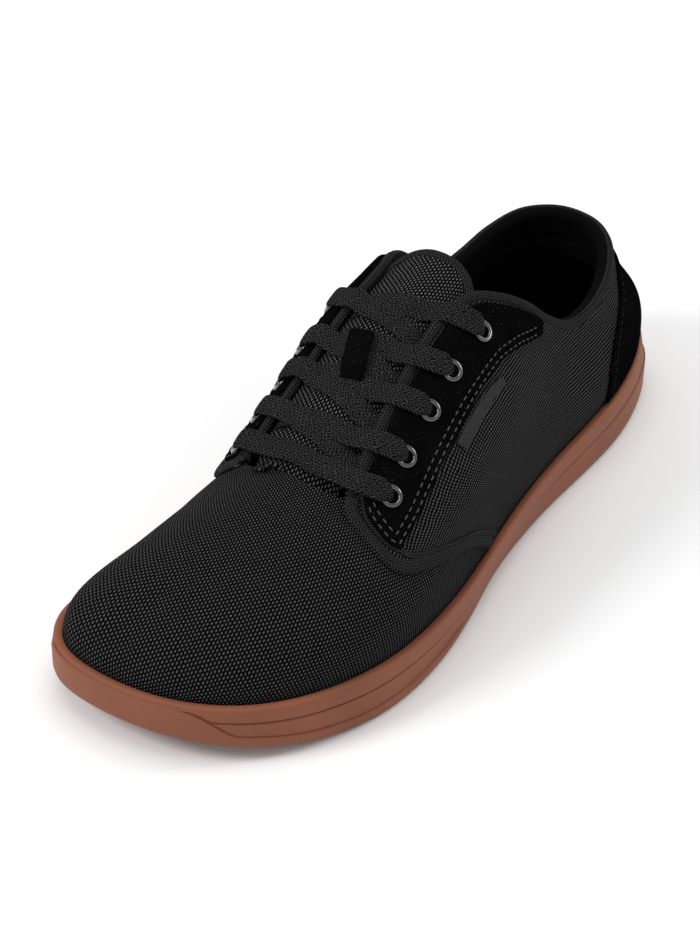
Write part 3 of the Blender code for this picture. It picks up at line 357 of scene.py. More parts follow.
def upper_point(row, up, out=0.0):
    """Point of the upper at a mesh column and a share of height, out metres off its surface."""
    row, up = np.broadcast_arrays(np.asarray(row, float), np.asarray(up, float))
    out = np.broadcast_to(np.asarray(out, float), row.shape)
    return last_surface(sheared(row, up), up) + upper_normal(row, up) * out[..., None]


def on_side(rows, sign):
    """Lateral rows as they are, or the medial rows opposite."""
    return rows if sign > 0 else RING - rows


def smoothstep(low, high, value):
    """0 at low to 1 at high, flat at both ends."""
    t = np.clip((value - low) / (high - low), 0, 1)
    return t * t * (3 - 2 * t)


# Meshes


def make(name, points, faces, uvs, finish, slot, node=None):
    """Object from points, faces and a UV for each point, welded and turned outward.

    It stands for the CAD node that is named.
    """
    mesh = bpy.data.meshes.new(name)
    mesh.from_pydata(np.asarray(points).tolist(), [], faces)
    corners = np.zeros(len(mesh.loops), int)
    mesh.loops.foreach_get("vertex_index", corners)
    layer = mesh.uv_layers.new(name="UVMap")
    layer.data.foreach_set("uv", np.asarray(uvs, np.float32)[corners].ravel())
    bm = bmesh.new()
    bm.from_mesh(mesh)
    bmesh.ops.remove_doubles(bm, verts=bm.verts, dist=0.004 * MM)
    bmesh.ops.recalc_face_normals(bm, faces=bm.faces)
    bm.to_mesh(mesh)
    bm.free()
    mesh.materials.append(finish)
    mesh.shade_smooth()
    mesh.set_sharp_from_angle(angle=math.radians(50))
    obj = bpy.data.objects.new(name, mesh)
    bpy.context.scene.collection.objects.link(obj)
    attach(obj, "root")
    if node:
        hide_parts(node)
    return obj


def grid_faces(index, order=(0, 1, 2, 3)):
    """Four-cornered faces between the rows and columns of a grid of point numbers."""
    corners = (index[:-1, :-1], index[1:, :-1], index[1:, 1:], index[:-1, 1:])
    return np.stack([corners[k] for k in order], -1).reshape(-1, 4).tolist()


TURNED = (0, 3, 2, 1)


def loft_faces(loops, count):
    """Faces between closed loops of count points each."""
    index = np.arange(loops * count).reshape(loops, count)
    return grid_faces(np.column_stack([index, index[:, 0]]), TURNED)


def lofted(name, rings, *looks):
    """Object through closed rings, with its UVs laid on the floor's plane."""
    points = np.array(rings)
    uv = points[..., :2].reshape(-1, 2)
    make(name, points.reshape(-1, 3), loft_faces(*points.shape[:2]), uv, *looks)


def slab_data(outer, inner, uv, skip=None):
    """Points, faces and UVs of a closed sheet between two grids of the same shape."""
    m, n = outer.shape[:2]
    index = np.arange(2 * m * n).reshape(2, m, n)
    faces = grid_faces(index[0], TURNED) + grid_faces(index[1])
    edge = ([(i, 0) for i in range(m)] + [(m - 1, j) for j in range(1, n)]
            + [(i, n - 1) for i in range(m - 2, -1, -1)] + [(0, j) for j in range(n - 2, 0, -1)])
    for a, b in zip(edge, edge[1:] + edge[:1]):
        if not (skip and skip(a, b)):
            faces.append([int(index[k][at]) for k, at in ((0, a), (0, b), (1, b), (1, a))])
    points = np.vstack([outer.reshape(-1, 3), inner.reshape(-1, 3)])
    return points, faces, np.vstack([uv.reshape(-1, 2)] * 2)


def tube_data(path, out, wide, thick, shape, curl=0.0):
    """Points, faces and UVs of a closed section swept along a path whose outward side is out."""
    path = np.asarray(path, float)
    along = unit(np.gradient(path, axis=0))
    out = np.broadcast_to(out, path.shape)
    out = unit(out - along * (out * along).sum(1, keepdims=True))
    across = np.cross(along, out)
    wide = np.broadcast_to(wide, len(path))[:, None, None]
    thick = np.broadcast_to(thick, len(path))[:, None, None]
    x, y = shape[None, :, :1], shape[None, :, 1:]
    y = y - curl * x * x
    points = path[:, None] + across[:, None] * x * wide + out[:, None] * y * thick
    n, m = points.shape[:2]
    length = arc_lengths(path, 0)
    uv = np.stack([np.broadcast_to(length[:, None], (n, m)),
                   np.broadcast_to((x * wide)[..., 0], (n, m))], -1)
    faces = loft_faces(n, m) + [list(range(m))[::-1], list(range((n - 1) * m, n * m))]
    return points.reshape(-1, 3), faces, uv.reshape(-1, 2)


def merged(parts):
    """One set of points, faces and UVs from several."""
    points, faces, uvs, start = [], [], [], 0
    for p, f, u in parts:
        points.append(p)
        uvs.append(u)
        faces += [[i + start for i in face] for face in f]
        start += len(p)
    return np.vstack(points), faces, np.vstack(uvs)


def loop_shape(count, power):
    """Closed section with half sizes of 0.5: a circle at power 2, flatter above."""
    angle = np.linspace(0, 2 * math.pi, count, endpoint=False)
    c, s = np.cos(angle), np.sin(angle)
    return 0.5 * np.column_stack([np.sign(c) * np.abs(c)**(2 / power),
                                  np.sign(s) * np.abs(s)**(2 / power)])


ROUND = loop_shape(14, 2)
FLAT = loop_shape(20, 3.2)


def clustered(count, edge):
    """Shares from 0 to 1 that lie closer near both ends, within edge of them."""
    near = np.array((0, 0.12, 0.35, 0.7)) * edge
    return np.concatenate([near, np.linspace(edge, 1 - edge, count), 1 - near[::-1]])


def mirrored(half):
    """Rows on both sides of the heel, from the rows on one."""
    return np.concatenate([-half[:0:-1], half])


def rounded(grid, radius):
    """Depths that round a sheet's outer face down at its four edges."""
    a, b = arc_lengths(grid, 0), arc_lengths(grid, 1)
    near = np.minimum(np.minimum(a, a[-1:] - a), np.minimum(b, b[:, -1:] - b))
    t = np.clip(1 - near / radius, 0, 1)
    return radius * (1 - np.sqrt(1 - t**2))


def patch(rows, ups, sink=0.3 * MM, stand=STAY_OUT, radius=0.9 * MM):
    """A sheet sunk into the quarters and standing off them, with rounded edges, and its UVs."""
    low, high = QUARTER_STEP - sink, QUARTER_STEP + stand
    base = upper_point(rows, ups, high)
    outer = upper_point(rows, ups, high - np.minimum(rounded(base, radius), high - low))
    uv = np.stack([arc_lengths(base, 0), arc_lengths(base, 1)], -1)
    return slab_data(outer, upper_point(rows, ups, low), uv)


# Materials


class Finish:
    """A material whose colour, roughness and bump come from small node sums."""

    def __init__(self, name, colour, roughness, **sockets):
        self.material = bpy.data.materials.new(name)
        self.material.use_nodes = True
        self.tree = self.material.node_tree
        self.shader = self.tree.nodes["Principled BSDF"]
        self.material.diffuse_color = (*colour, 1)
        self.shader.inputs["Base Color"].default_value = (*colour, 1)
        self.shader.inputs["Roughness"].default_value = roughness
        for socket, value in sockets.items():
            self.shader.inputs[socket.replace("_", " ")].default_value = value
        where = self.tree.nodes.new("ShaderNodeTexCoord")
        self.uv, self.place, self.facing = (where.outputs[k] for k in ("UV", "Object", "Normal"))

    def node(self, kind, **inputs):
        node = self.tree.nodes.new(kind)
        for name, value in inputs.items():
            self.put(node.inputs[name.replace("_", " ")], value)
        return node

    def put(self, socket, value):
        if isinstance(value, bpy.types.NodeSocket):
            self.tree.links.new(value, socket)
        else:
            socket.default_value = value

    def sum(self, operation, *values):
        """A maths node; values are sockets or numbers."""
        node = self.tree.nodes.new("ShaderNodeMath")
        node.operation = operation
        for socket, value in zip(node.inputs, values):
            self.put(socket, value)
        return node.outputs[0]

    def centred(self, value):
        """The part after a value's whole number, less a half."""
        return self.sum("SUBTRACT", self.sum("FRACT", value), 0.5)

    def wave(self, turns, half=0.5, middle=0.5):
        """A cosine of whole turns, scaled to swing by half round middle."""
        cosine = self.sum("COSINE", self.sum("MULTIPLY", turns, 2 * math.pi))
        return self.sum("MULTIPLY_ADD", cosine, half, middle)

    def strayed(self, value, scale, reach):
        """A value moved to and fro by noise."""
        stray = self.sum("SUBTRACT", self.noise(scale, 2), 0.5)
        return self.sum("MULTIPLY_ADD", stray, reach, value)

    def noise(self, scale, detail):
        node = self.node("ShaderNodeTexNoise", Scale=scale, Detail=detail, Vector=self.place)
        return node.outputs["Fac"]

    def axes(self):
        """The two UV axes as sockets."""
        parts = self.node("ShaderNodeSeparateXYZ", Vector=self.uv)
        return parts.outputs[0], parts.outputs[1]

    def tint(self, value, *stops):
        """Colours by a ramp on value; each stop is a place and a colour."""
        node = self.tree.nodes.new("ShaderNodeValToRGB")
        self.put(node.inputs[0], value)
        ramp = node.color_ramp
        while len(ramp.elements) < len(stops):
            ramp.elements.new(0.5)
        for element, (place, colour) in zip(ramp.elements, stops):
            element.position = place
            element.color = (*colour, 1)
        self.put(self.shader.inputs["Base Color"], node.outputs["Color"])

    def rough(self, value, low, high):
        """Roughness from low to high as value goes from 0 to 1."""
        node = self.node("ShaderNodeMapRange", Value=value, To_Min=low, To_Max=high)
        self.put(self.shader.inputs["Roughness"], node.outputs[0])

    def bump(self, height, distance, strength):
        """Adds a bump of the given depth in metres to the shader's normal."""
        node = self.node("ShaderNodeBump", Height=height, Distance=distance, Strength=strength)
        socket = self.shader.inputs["Normal"]
        if socket.is_linked:
            self.tree.links.new(socket.links[0].from_socket, node.inputs["Normal"])
        self.put(socket, node.outputs[0])

    def yarn(self, height, depth, scale, gain, least, *stops):
        """Colours yarn lighter where raised and darker where low, as painted highlight and painted
        shade, with uneven fibres; roughens and raises it by its height; gives the material.
        """
        fibres = self.sum("MULTIPLY_ADD", self.noise(scale, 2), gain, least)
        # Painted light: colour follows height, lighter where raised as highlight, darker where low as
        # shade
        self.tint(self.sum("MULTIPLY", height, fibres), *stops)
        self.rough(height, 0.95, 0.7)
        self.bump(height, depth, 0.9)
        return self.material


def grey(value):
    return (value, value, value)


def knit(name, long_pitch, row_pitch, stagger, bright, rib):
    """Black knit: rows of short raised dashes over holes, painted lighter on the dashes as highlight
    and near-black in the holes as shade; rib joins a row's dashes.
    """
    f = Finish(name, grey(bright * 0.5), 0.85, Specular_IOR_Level=0.02)
    u, v = f.axes()
    row = f.sum("DIVIDE", f.strayed(v, 180, 0.9 * row_pitch), row_pitch)
    odd = f.sum("MODULO", f.sum("ABSOLUTE", f.sum("FLOOR", row)), 2)
    place = f.sum("ADD", f.sum("DIVIDE", u, long_pitch), f.sum("MULTIPLY", odd, stagger))
    dash = f.wave(place, 0.5 * (1 - rib), 0.5 + 0.5 * rib)
    height = f.sum("MULTIPLY", dash, f.wave(f.centred(row)))
    # Painted shade in the holes, painted highlight up to bright on the raised dashes
    hole_shade = grey(0.0018)
    return f.yarn(height, 0.45 * MM, 2600, 1.3, 0.35, (0.0, hole_shade), (0.28, hole_shade),
                  (0.80, grey(bright)), (1.0, grey(bright * 1.25)))


def herringbone(name, pitch, width, bright, depth, wander=0.0):
    """Narrow knit tape or braid: slanting stitches that meet along each lane's middle, painted lighter
    where raised as highlight and darker where low as shade.
    """
    f = Finish(name, grey(bright), 0.85, Specular_IOR_Level=0.03)
    u, v = f.axes()
    if wander:
        u, v = f.strayed(u, 420, wander * 2.4), f.strayed(v, 310, wander)
    lane = f.sum("DIVIDE", v, width)
    slant = f.sum("MULTIPLY", f.sum("ABSOLUTE", f.centred(lane)), 2.2)
    stitch = f.wave(f.sum("ADD", f.sum("DIVIDE", u, pitch), slant))
    height = f.sum("MULTIPLY", stitch, f.wave(f.sum("MULTIPLY", lane, 2), -0.25, 0.75))
    # Painted shade in the low stitches, painted highlight up to bright on the raised ones
    return f.yarn(height, depth, 2200, 1.2, 0.4, (0.0, grey(0.003)), (0.25, grey(0.006)),
                  (0.9, grey(bright)))


def suede(name, base):
    """Napped suede with a few pale flecks."""
    f = Finish(name, grey(base), 0.97, Specular_IOR_Level=0.0)
    nap, drift = f.noise(2400, 4), f.noise(70, 3)
    fleck = f.sum("GREATER_THAN", f.noise(1500, 1), 0.71)
    mixed = f.sum("MULTIPLY_ADD", fleck, 0.55, f.sum("MULTIPLY", f.sum("ADD", nap, drift), 0.4))
    f.tint(mixed, (0.25, grey(base * 0.35)), (0.55, grey(base)), (0.95, grey(base * 5)))
    f.bump(nap, 0.25 * MM, 0.7)
    f.bump(drift, 0.5 * MM, 0.35)
    return f.material


def cloth(name, base, scale, depth, sheen=0.0):
    """Plain fine cloth or thread."""
    f = Finish(name, grey(base), 0.8, Specular_IOR_Level=0.03, Sheen_Weight=sheen,
               Sheen_Roughness=0.4, Sheen_Tint=(*grey(0.3), 1))
    fine = f.noise(scale, 2)
    f.tint(fine, (0.3, grey(base * 0.6)), (0.7, grey(base * 1.4)))
    f.rough(fine, 0.7, 0.95)
    f.bump(fine, depth, 0.6)
    return f.material


def rubber():
    """Gum rubber, with a fine zigzag tread where it faces the floor."""
    base = (0.235, 0.084, 0.047)
    f = Finish("gum_rubber_looks", base, 0.5, Specular_IOR_Level=0.12)
    fine, broad = f.noise(1400, 3), f.noise(30, 2)
    shade = f.sum("ADD", f.sum("MULTIPLY", fine, 0.25), f.sum("MULTIPLY", broad, 0.75))
    dull, bright = (tuple(share * part for part in base) for share in (0.88, 1.1))
    f.tint(shade, (0.3, dull), (0.7, bright))
    f.rough(shade, 0.42, 0.62)
    f.bump(fine, 0.08 * MM, 0.5)
    u, v = f.axes()
    zigzag_width, ridge_pitch = 9 * MM, 3.6 * MM
    zigzag = f.sum("ABSOLUTE", f.centred(f.sum("DIVIDE", v, zigzag_width)))
    ridge = f.wave(f.sum("ADD", f.sum("DIVIDE", u, ridge_pitch), f.sum("MULTIPLY", zigzag, 2.5)))
    facing = f.node("ShaderNodeSeparateXYZ", Vector=f.facing).outputs[2]
    f.bump(f.sum("MULTIPLY", ridge, f.sum("LESS_THAN", facing, -0.85)), 0.7 * MM, 0.8)
    return f.material


def gunmetal():
    """Dark polished metal."""
    f = Finish("gunmetal_looks", grey(0.12), 0.12, Metallic=1.0)
    fine = f.noise(900, 2)
    f.rough(fine, 0.08, 0.16)
    f.bump(fine, 0.02 * MM, 0.3)
    return f.material


# Knits: pitch along a row and between rows, stagger, brightness with the dashes' painted highlight,
# and how far dashes join
VAMP_KNIT = knit("vamp_knit", 1.45 * MM, 1.0 * MM, 0.5, 0.082, 0.2)
QUARTER_KNIT = knit("quarter_knit", 1.2 * MM, 1.35 * MM, 0.0, 0.076, 0.4)
TONGUE_KNIT = knit("tongue_knit", 1.7 * MM, 1.1 * MM, 0.5, 0.12, 0.15)
# Tapes and laces: pitch of the stitches, lane width, brightness with the stitches' painted highlight,
# depth, and how far they wander
TAPE = herringbone("binding_tape", 1.1 * MM, 2.0 * MM, 0.05, 0.25 * MM)
LACE = herringbone("lace_braid", 1.5 * MM, 2.05 * MM, 0.053, 0.4 * MM, 1.1 * MM)
LABEL_TAPE = herringbone("label_weave", 0.5 * MM, 0.9 * MM, 0.10, 0.06 * MM)
SUEDE = suede("suede_black", 0.0042)
LINING = cloth("lining_cloth", 0.002, 1800, 0.08 * MM, 0.04)
SOCK = cloth("sock_cloth", 0.003, 900, 0.15 * MM)
THREAD = cloth("stitch_thread", 0.075, 3000, 0.05 * MM)
DARK_THREAD = cloth("dark_thread", 0.012, 3000, 0.05 * MM)
RUBBER = rubber()
METAL = gunmetal()


# Soft creases on the vamp and quarters, in millimetres: two plan ends, half width and depth
CREASES = (
    ((78, 26), (62, -34), 7, 0.55), ((60, 34), (74, 12), 5, 0.40), ((94, 30), (98, 4), 7, 0.30),
    ((-30, 40), (20, 46), 6, 0.35))
# Heights of the upper's points, closer together at the top
HEIGHT_SHARES = np.concatenate([np.linspace(0, 0.9, 40), np.linspace(0.92, 1, 7)])


def crease_depth(points):
    """How far the soft troughs draw the surface in at each point."""
    depth = np.zeros(points.shape[:-1])
    for start, end, width, deep in CREASES:
        start, end = np.array(start) * MM, np.array(end) * MM
        line = end - start
        t = np.clip(((points[..., :2] - start) @ line) / line.dot(line), 0, 1)
        away = np.linalg.norm(points[..., :2] - start - t[..., None] * line, axis=-1) / (width * MM)
        trough = np.exp(-away**2) - 0.45 * np.exp(-(away - 1.7)**2)
        depth += deep * MM * np.sin(t * math.pi) * trough
    return depth


def with_foot(rows, grid, more):
    """A grid of the upper's points with its lower edge added, inside the sole's wall."""
    row = sheared(rows, np.zeros_like(rows))
    share = row / LAST_ROW + ring_spline(RINGS["arc_ahead"], row)
    plan, _ = CURVE.at(share)
    plan, _ = CURVE.at(share, rim_inset(plan[:, 0]) + SOLE_WALL + GAP + more)
    foot = np.column_stack([plan, tread_height(plan[:, 0]) + SOLE_FLOOR + GAP])
    return np.concatenate([foot[:, None], grid], 1)


def collar_share(row):
    """1 round the heel, falling to 0 in front of the collar."""
    return np.clip((COLLAR_FRONT_ROW - lateral_row(row)) / COLLAR_FADE_ROWS, 0, 1)


def wall(row, up):
    """Thickness of the upper's wall: thin knit, padded at the collar."""
    return VAMP_WALL + COLLAR_PAD * collar_share(row) * smoothstep(0.45, 0.75, up)


def vamp():
    """Front of the upper, from under the quarters' edge over the toe."""
    half = np.concatenate([np.arange(VAMP_FROM_ROW, 14.4, 0.1),
                           np.arange(14.4, LAST_ROW + 0.01, 0.12)])
    half[-1] = LAST_ROW
    rows = np.concatenate([half, RING - half[-2::-1]])
    r, u = np.meshgrid(rows, HEIGHT_SHARES, indexing="ij")
    outer = upper_point(r, u, -crease_depth(last_surface(sheared(r, u), u)))
    inner = upper_point(r, u, -VAMP_WALL)
    folded = np.nonzero((rows >= SPINE_ROW) & (rows <= RING - SPINE_ROW))[0]
    for grid in (outer, inner):
        top = grid[folded, -1]
        grid[folded, -1] = (top + top[::-1]) / 2
    outer = with_foot(rows, relaxed(outer, folded), 0)
    inner = with_foot(rows, relaxed(inner, folded), VAMP_WALL)
    last = outer.shape[1] - 1
    first, final = folded[0], folded[-1]

    def skip(a, b):
        on_fold = first <= min(a[0], b[0]) and max(a[0], b[0]) <= final
        return a[1] == last and b[1] == last and on_fold

    data = slab_data(outer, inner, unwrapped(outer, folded), skip)
    make("knit_vamp", *data, VAMP_KNIT, "black_knit", "upper")


def welded_index(shape, folded):
    """Point numbers of a grid whose folded top points meet in pairs."""
    m, n = shape
    index = np.arange(m * n).reshape(m, n)
    for near, far in zip(folded, folded[::-1]):
        if near < far:
            index[far, -1] = index[near, -1]
    return index


def relaxed(grid, folded):
    """Smooths a grid of points near the front end of its fold."""
    reach = 16 * MM
    index = welded_index(grid.shape[:2], folded)
    pairs = np.vstack([np.column_stack([index[:-1].ravel(), index[1:].ravel()]),
                       np.column_stack([index[:, :-1].ravel(), index[:, 1:].ravel()])])
    pairs = np.unique(np.sort(pairs[pairs[:, 0] != pairs[:, 1]], 1), axis=0)
    points = grid.reshape(-1, 3).copy()
    away = np.linalg.norm((points - grid[len(grid) // 2, -1])[:, :2], axis=1)
    for scale, turns in ((1.0, 14), (0.7, 16), (0.4, 16)):
        near = away < reach * scale
        for _ in range(turns):
            total = np.zeros((len(points), 4))
            for a, b in (pairs.T, pairs.T[::-1]):
                np.add.at(total, a, np.column_stack([points[b], np.ones(len(b))]))
            mean = total[:, :3] / np.maximum(total[:, 3:], 1)
            points[near] = (points[near] + mean[near]) / 2
    return points[index]


def unwrapped(grid, folded):
    """UVs in metres that lay a grid of points flat, with its folded top points welded."""
    m, n = grid.shape[:2]
    index = welded_index((m, n), folded)
    faces = [list(dict.fromkeys(face)) for face in grid_faces(index)]
    mesh = bpy.data.meshes.new("flat")
    mesh.from_pydata(grid.reshape(-1, 3).tolist(), [], faces)
    mesh.uv_layers.new(name="UVMap")
    obj = bpy.data.objects.new("flat", mesh)
    bpy.context.scene.collection.objects.link(obj)
    bpy.context.view_layer.objects.active = obj
    obj.select_set(True)
    bpy.ops.object.mode_set(mode="EDIT")
    bpy.ops.mesh.select_all(action="SELECT")
    bpy.ops.uv.unwrap(method="ANGLE_BASED", margin=0.0)
    bpy.ops.object.mode_set(mode="OBJECT")
    corners = np.zeros(len(mesh.loops), int)
    mesh.loops.foreach_get("vertex_index", corners)
    flat = np.zeros(2 * len(mesh.loops), np.float32)
    mesh.uv_layers[0].data.foreach_get("uv", flat)
    uv = np.zeros((m * n, 2))
    uv[corners] = flat.reshape(-1, 2)
    bpy.data.objects.remove(obj)
    uv = uv[index]
    top = slice(m // 3, m - m // 3)
    plan = grid[top, n // 2:, :2].reshape(-1, 2)
    laid = uv[top, n // 2:].reshape(-1, 2)
    mid_plan, mid_laid = plan.mean(0), laid.mean(0)
    fit, *_ = np.linalg.lstsq(laid - mid_laid, plan - mid_plan, rcond=None)
    left, _, right = np.linalg.svd(fit)
    turned = (uv - mid_laid) @ left @ right
    real = np.linalg.norm(np.diff(grid, axis=0), axis=-1).sum()
    return turned * real / np.linalg.norm(np.diff(turned, axis=0), axis=-1).sum()


def level_uv(grid, column):
    """UVs in metres, level with the given column of a grid of points."""
    level = np.broadcast_to(arc_lengths(grid, 0)[:, column:column + 1], grid.shape[:2])
    return np.stack([level, arc_lengths(grid, 1)], -1)


def quarters():
    """Back of the upper, one knit piece round the heel, over the vamp at both front edges."""
    rows = mirrored(np.concatenate([np.arange(0, 13, 0.125), np.linspace(13, QUARTERS_TO_ROW, 10)]))
    r, u = np.meshgrid(rows, HEIGHT_SHARES, indexing="ij")
    stand = QUARTER_STEP * (np.clip(u / 0.08, 0, 1) - 0.5 * smoothstep(0.95, 1.0, u))
    outer = upper_point(r, u, stand - crease_depth(last_surface(sheared(r, u), u)))
    over = smoothstep(VAMP_FROM_ROW - 0.4, VAMP_FROM_ROW, lateral_row(r))
    inner = upper_point(r, u, -(VAMP_WALL - 0.6 * MM) * (1 - over) + 0.1 * MM * over)
    outer, inner = with_foot(rows, outer, 0), with_foot(rows, inner, VAMP_WALL)
    data = slab_data(outer, inner, level_uv(outer, 22))
    make("knit_quarters", *data, QUARTER_KNIT, "black_knit", "upper")


def collar_lining():
    """Padded lining round the collar, with the sewn groove below the rolled top."""
    rows = mirrored(np.arange(0, LINING_TO_ROW, 0.15))
    r, u = np.meshgrid(rows, np.linspace(0.02, 0.985, 60), indexing="ij")
    base = last_surface(sheared(r, u), u)
    below = arc_lengths(base[:, ::-1], 1)[:, ::-1]
    groove, groove_half = 9.5 * MM, 1.5 * MM
    swell, swell_half = groove + 8 * MM, 6 * MM
    pad = wall(r, u) - 0.5 * MM
    bulge = collar_share(r) * (1.6 * MM * np.exp(-((below - swell) / swell_half)**2)
                               - 2.4 * MM * np.exp(-((below - groove) / groove_half)**2))
    pad = pad + bulge - 1.2 * MM * smoothstep(0.9, 1.0, u) * collar_share(r)
    inner = upper_point(r, u, -np.maximum(pad, VAMP_WALL - 0.4 * MM))
    outer = upper_point(r, u, -(VAMP_WALL - 0.9 * MM))
    base, outer = (with_foot(rows, grid, VAMP_WALL) for grid in (base, outer))
    inner = with_foot(rows, inner, VAMP_WALL + 0.4 * MM)
    data = slab_data(outer, inner, level_uv(base, 30))
    make("collar_lining", *data, LINING, "black_lining")


def edge_binding():
    """Knit tape round the collar and throat and down both front edges of the quarters."""
    parts = []
    throat = np.linspace(9, THROAT_CORNER_ROW, 60)
    rows = np.concatenate([-throat[::-1], np.linspace(-8.9, 8.9, 200), throat])
    depth = wall(rows, np.ones_like(rows)) - 0.25 * COLLAR_PAD * collar_share(rows)
    lip = np.minimum(depth, VAMP_WALL)
    path = upper_point(rows, 0.995, (0.5 * QUARTER_STEP - lip) / 2 + 0.1 * MM)
    normal = upper_normal(np.mod(rows, RING), np.full(len(rows), 0.995))
    parts.append(tube_data(path, normal, 4.6 * MM, lip + 0.5 * QUARTER_STEP + 1.0 * MM, ROUND))
    roll = np.abs(rows) < COLLAR_FRONT_ROW
    core = 0.3 * VAMP_WALL
    path = upper_point(rows[roll], 0.992, -(core + depth[roll]) / 2)
    data = tube_data(path, normal[roll], 5.2 * MM, depth[roll] - core + 1.5 * MM, ROUND)
    make("collar_roll", *data, LINING, "black_lining")
    ups = np.linspace(0.03, 0.99, 90)
    for sign in (1, -1):
        for back, wide, thick, out in ((0.0, 4.9, 2.6, 0.8), (4.7, 2.4, 1.2, 1.0)):
            column = on_side(FRONT_ROW - back_rows(ups, back * MM), sign)
            path = upper_point(column, ups, out * MM)
            normal = upper_normal(column, ups)
            parts.append(tube_data(path, normal, wide * MM, thick * MM, ROUND))
    make("edge_binding", *merged(parts), TAPE, "black_knit")


def back_rows(ups, distance):
    """Rows to go back from the quarter's front edge to be a distance behind it."""
    step = 0.2
    there = upper_point(np.full(len(ups), FRONT_ROW), ups)
    behind = upper_point(np.full(len(ups), FRONT_ROW - step), ups)
    return distance * step / np.linalg.norm(there - behind, axis=1)


def eyestay(sign):
    """Suede strip along the throat, rounded at its edges."""
    part = clustered(60, 0.012)
    row = STAY[0, 0] + (STAY[-1, 0] - STAY[0, 0]) * part
    across = clustered(14, 0.07)
    low = smooth_table(STAY, row)
    ups = low[:, None] + (STAY_TOP - low[:, None]) * across
    rows = on_side(np.repeat(row[:, None], len(across), 1), sign)
    name = "lateral" if sign > 0 else "medial"
    make(f"suede_stay_{name}", *patch(rows, ups), SUEDE, "black_suede", f"eyestay_{name}")


def edge_line(sign, inset):
    """Rows and heights of a path inside the eyestay's outer edge and front end."""
    last, up_step, row_step = STAY[-1, 0], 0.02, 0.1
    row = np.linspace(STAY[0, 0] + 0.25, last, 160)
    low = smooth_table(STAY, row)
    rows = on_side(row, sign)
    rise = np.linalg.norm(upper_point(rows, low + up_step) - upper_point(rows, low), axis=1)
    ups = low + inset * up_step / rise
    run = np.linalg.norm(rail(last, sign, 0.7) - rail(last - row_step, sign, 0.7))
    stop = last - inset * row_step / run
    front = np.linspace(np.interp(stop, row, ups), 0.93, 40)
    return (np.concatenate([rows[row < stop], np.full(len(front), on_side(stop, sign))]),
            np.concatenate([ups[row < stop], front]))


def stitches(rows, ups, out, pitch, length, radius):
    """Short raised threads along a path on the upper."""
    path = upper_point(rows, ups, out)
    normal = upper_normal(np.mod(rows, RING), ups)
    run = arc_lengths(path, 0)
    parts = []
    shape = loop_shape(6, 2)
    bow = np.array([-0.9, 0.15, 0.4, 0.15, -0.9]) * radius
    size = np.array([0.5, 1.0, 1.0, 1.0, 0.5]) * 2 * radius
    for start in np.arange(pitch * 0.5, run[-1] - length, pitch):
        at = start + length * np.array([0, 0.2, 0.5, 0.8, 1])
        p, n = sampled(at, run, path), unit(sampled(at, run, normal))
        parts.append(tube_data(p + n * bow[:, None], n, size, size * 0.8, shape))
    return parts


def stay_stitching():
    """Two rows of stitches inside each eyestay's edge."""
    parts = []
    for sign in (1, -1):
        for inset in (1.5 * MM, 3.9 * MM):
            rows, ups = edge_line(sign, inset)
            parts += stitches(rows, ups, QUARTER_STEP + STAY_OUT, STITCH_PITCH, 2.1 * MM, 0.24 * MM)
    make("stay_stitching", *merged(parts), THREAD, "black_suede")


def heel_counter():
    """Suede overlay round the heel."""
    up = COUNTER[0, 0] + (COUNTER[-1, 0] - COUNTER[0, 0]) * clustered(30, 0.03)
    front = smooth_table(COUNTER, up)
    part = 2 * clustered(80, 0.01) - 1
    ups = np.repeat(up[:, None], len(part), 1)
    make("suede_counter", *patch(front[:, None] * part, ups), SUEDE, "black_suede", "heel_counter")


def counter_seam():
    """Corded seam along the counter's front edges, with its stitching."""
    ups = np.linspace(COUNTER[0, 0], COUNTER[-1, 0] - 0.035, 120)
    front = smooth_table(COUNTER, ups)
    cords, threads = [], []
    for sign in (1, -1):
        path = upper_point(sign * (front + 0.01), ups, QUARTER_STEP + 0.7 * MM)
        normal = upper_normal(np.mod(sign * front, RING), ups)
        cords.append(tube_data(path, normal, 1.5 * MM, 1.5 * MM, loop_shape(10, 2)))
        threads += stitches(sign * (front - 0.12), ups, QUARTER_STEP + STAY_OUT, STITCH_PITCH,
                            2.2 * MM, 0.28 * MM)
    make("counter_cord", *merged(cords), SUEDE, "black_suede")
    make("counter_stitching", *merged(threads), DARK_THREAD, "black_suede")


def woven_tab():
    """Side label: a plain woven tab, sewn flat."""
    part, across = clustered(30, 0.03), clustered(12, 0.08)
    row, low, high = (start + (end - start) * part for start, end in zip(*LABEL))
    ups = low[:, None] + (high - low)[:, None] * across
    rows = np.repeat(row[:, None], len(across), 1)
    data = patch(rows, ups, 0.2 * MM, 1.3 * MM, 0.5 * MM)
    make("woven_tab", *data, LABEL_TAPE, "label_tape", "side_label")


def side_plan(sign):
    """The outline's plan points on one side, from heel to toe."""
    share = np.linspace(0.02, 0.98, 200)
    return CURVE.at(share if sign > 0 else 2 - share)[0].T


def fan(x, edge, parts, lift):
    """Rings between the sole's middle line, abreast of x, and an edge."""
    middle_x = np.clip(x, -0.36 * LENGTH, 0.36 * LENGTH)
    middle_y = (np.interp(middle_x, *side_plan(1)) + np.interp(middle_x, *side_plan(-1))) / 2
    centre = np.column_stack([middle_x, middle_y])
    plans = [centre * (1 - part) + edge * part for part in parts]
    return [np.column_stack([plan, tread_height(plan[:, 0]) + up])
            for plan, up in zip(plans, np.broadcast_to(lift, len(plans)))]


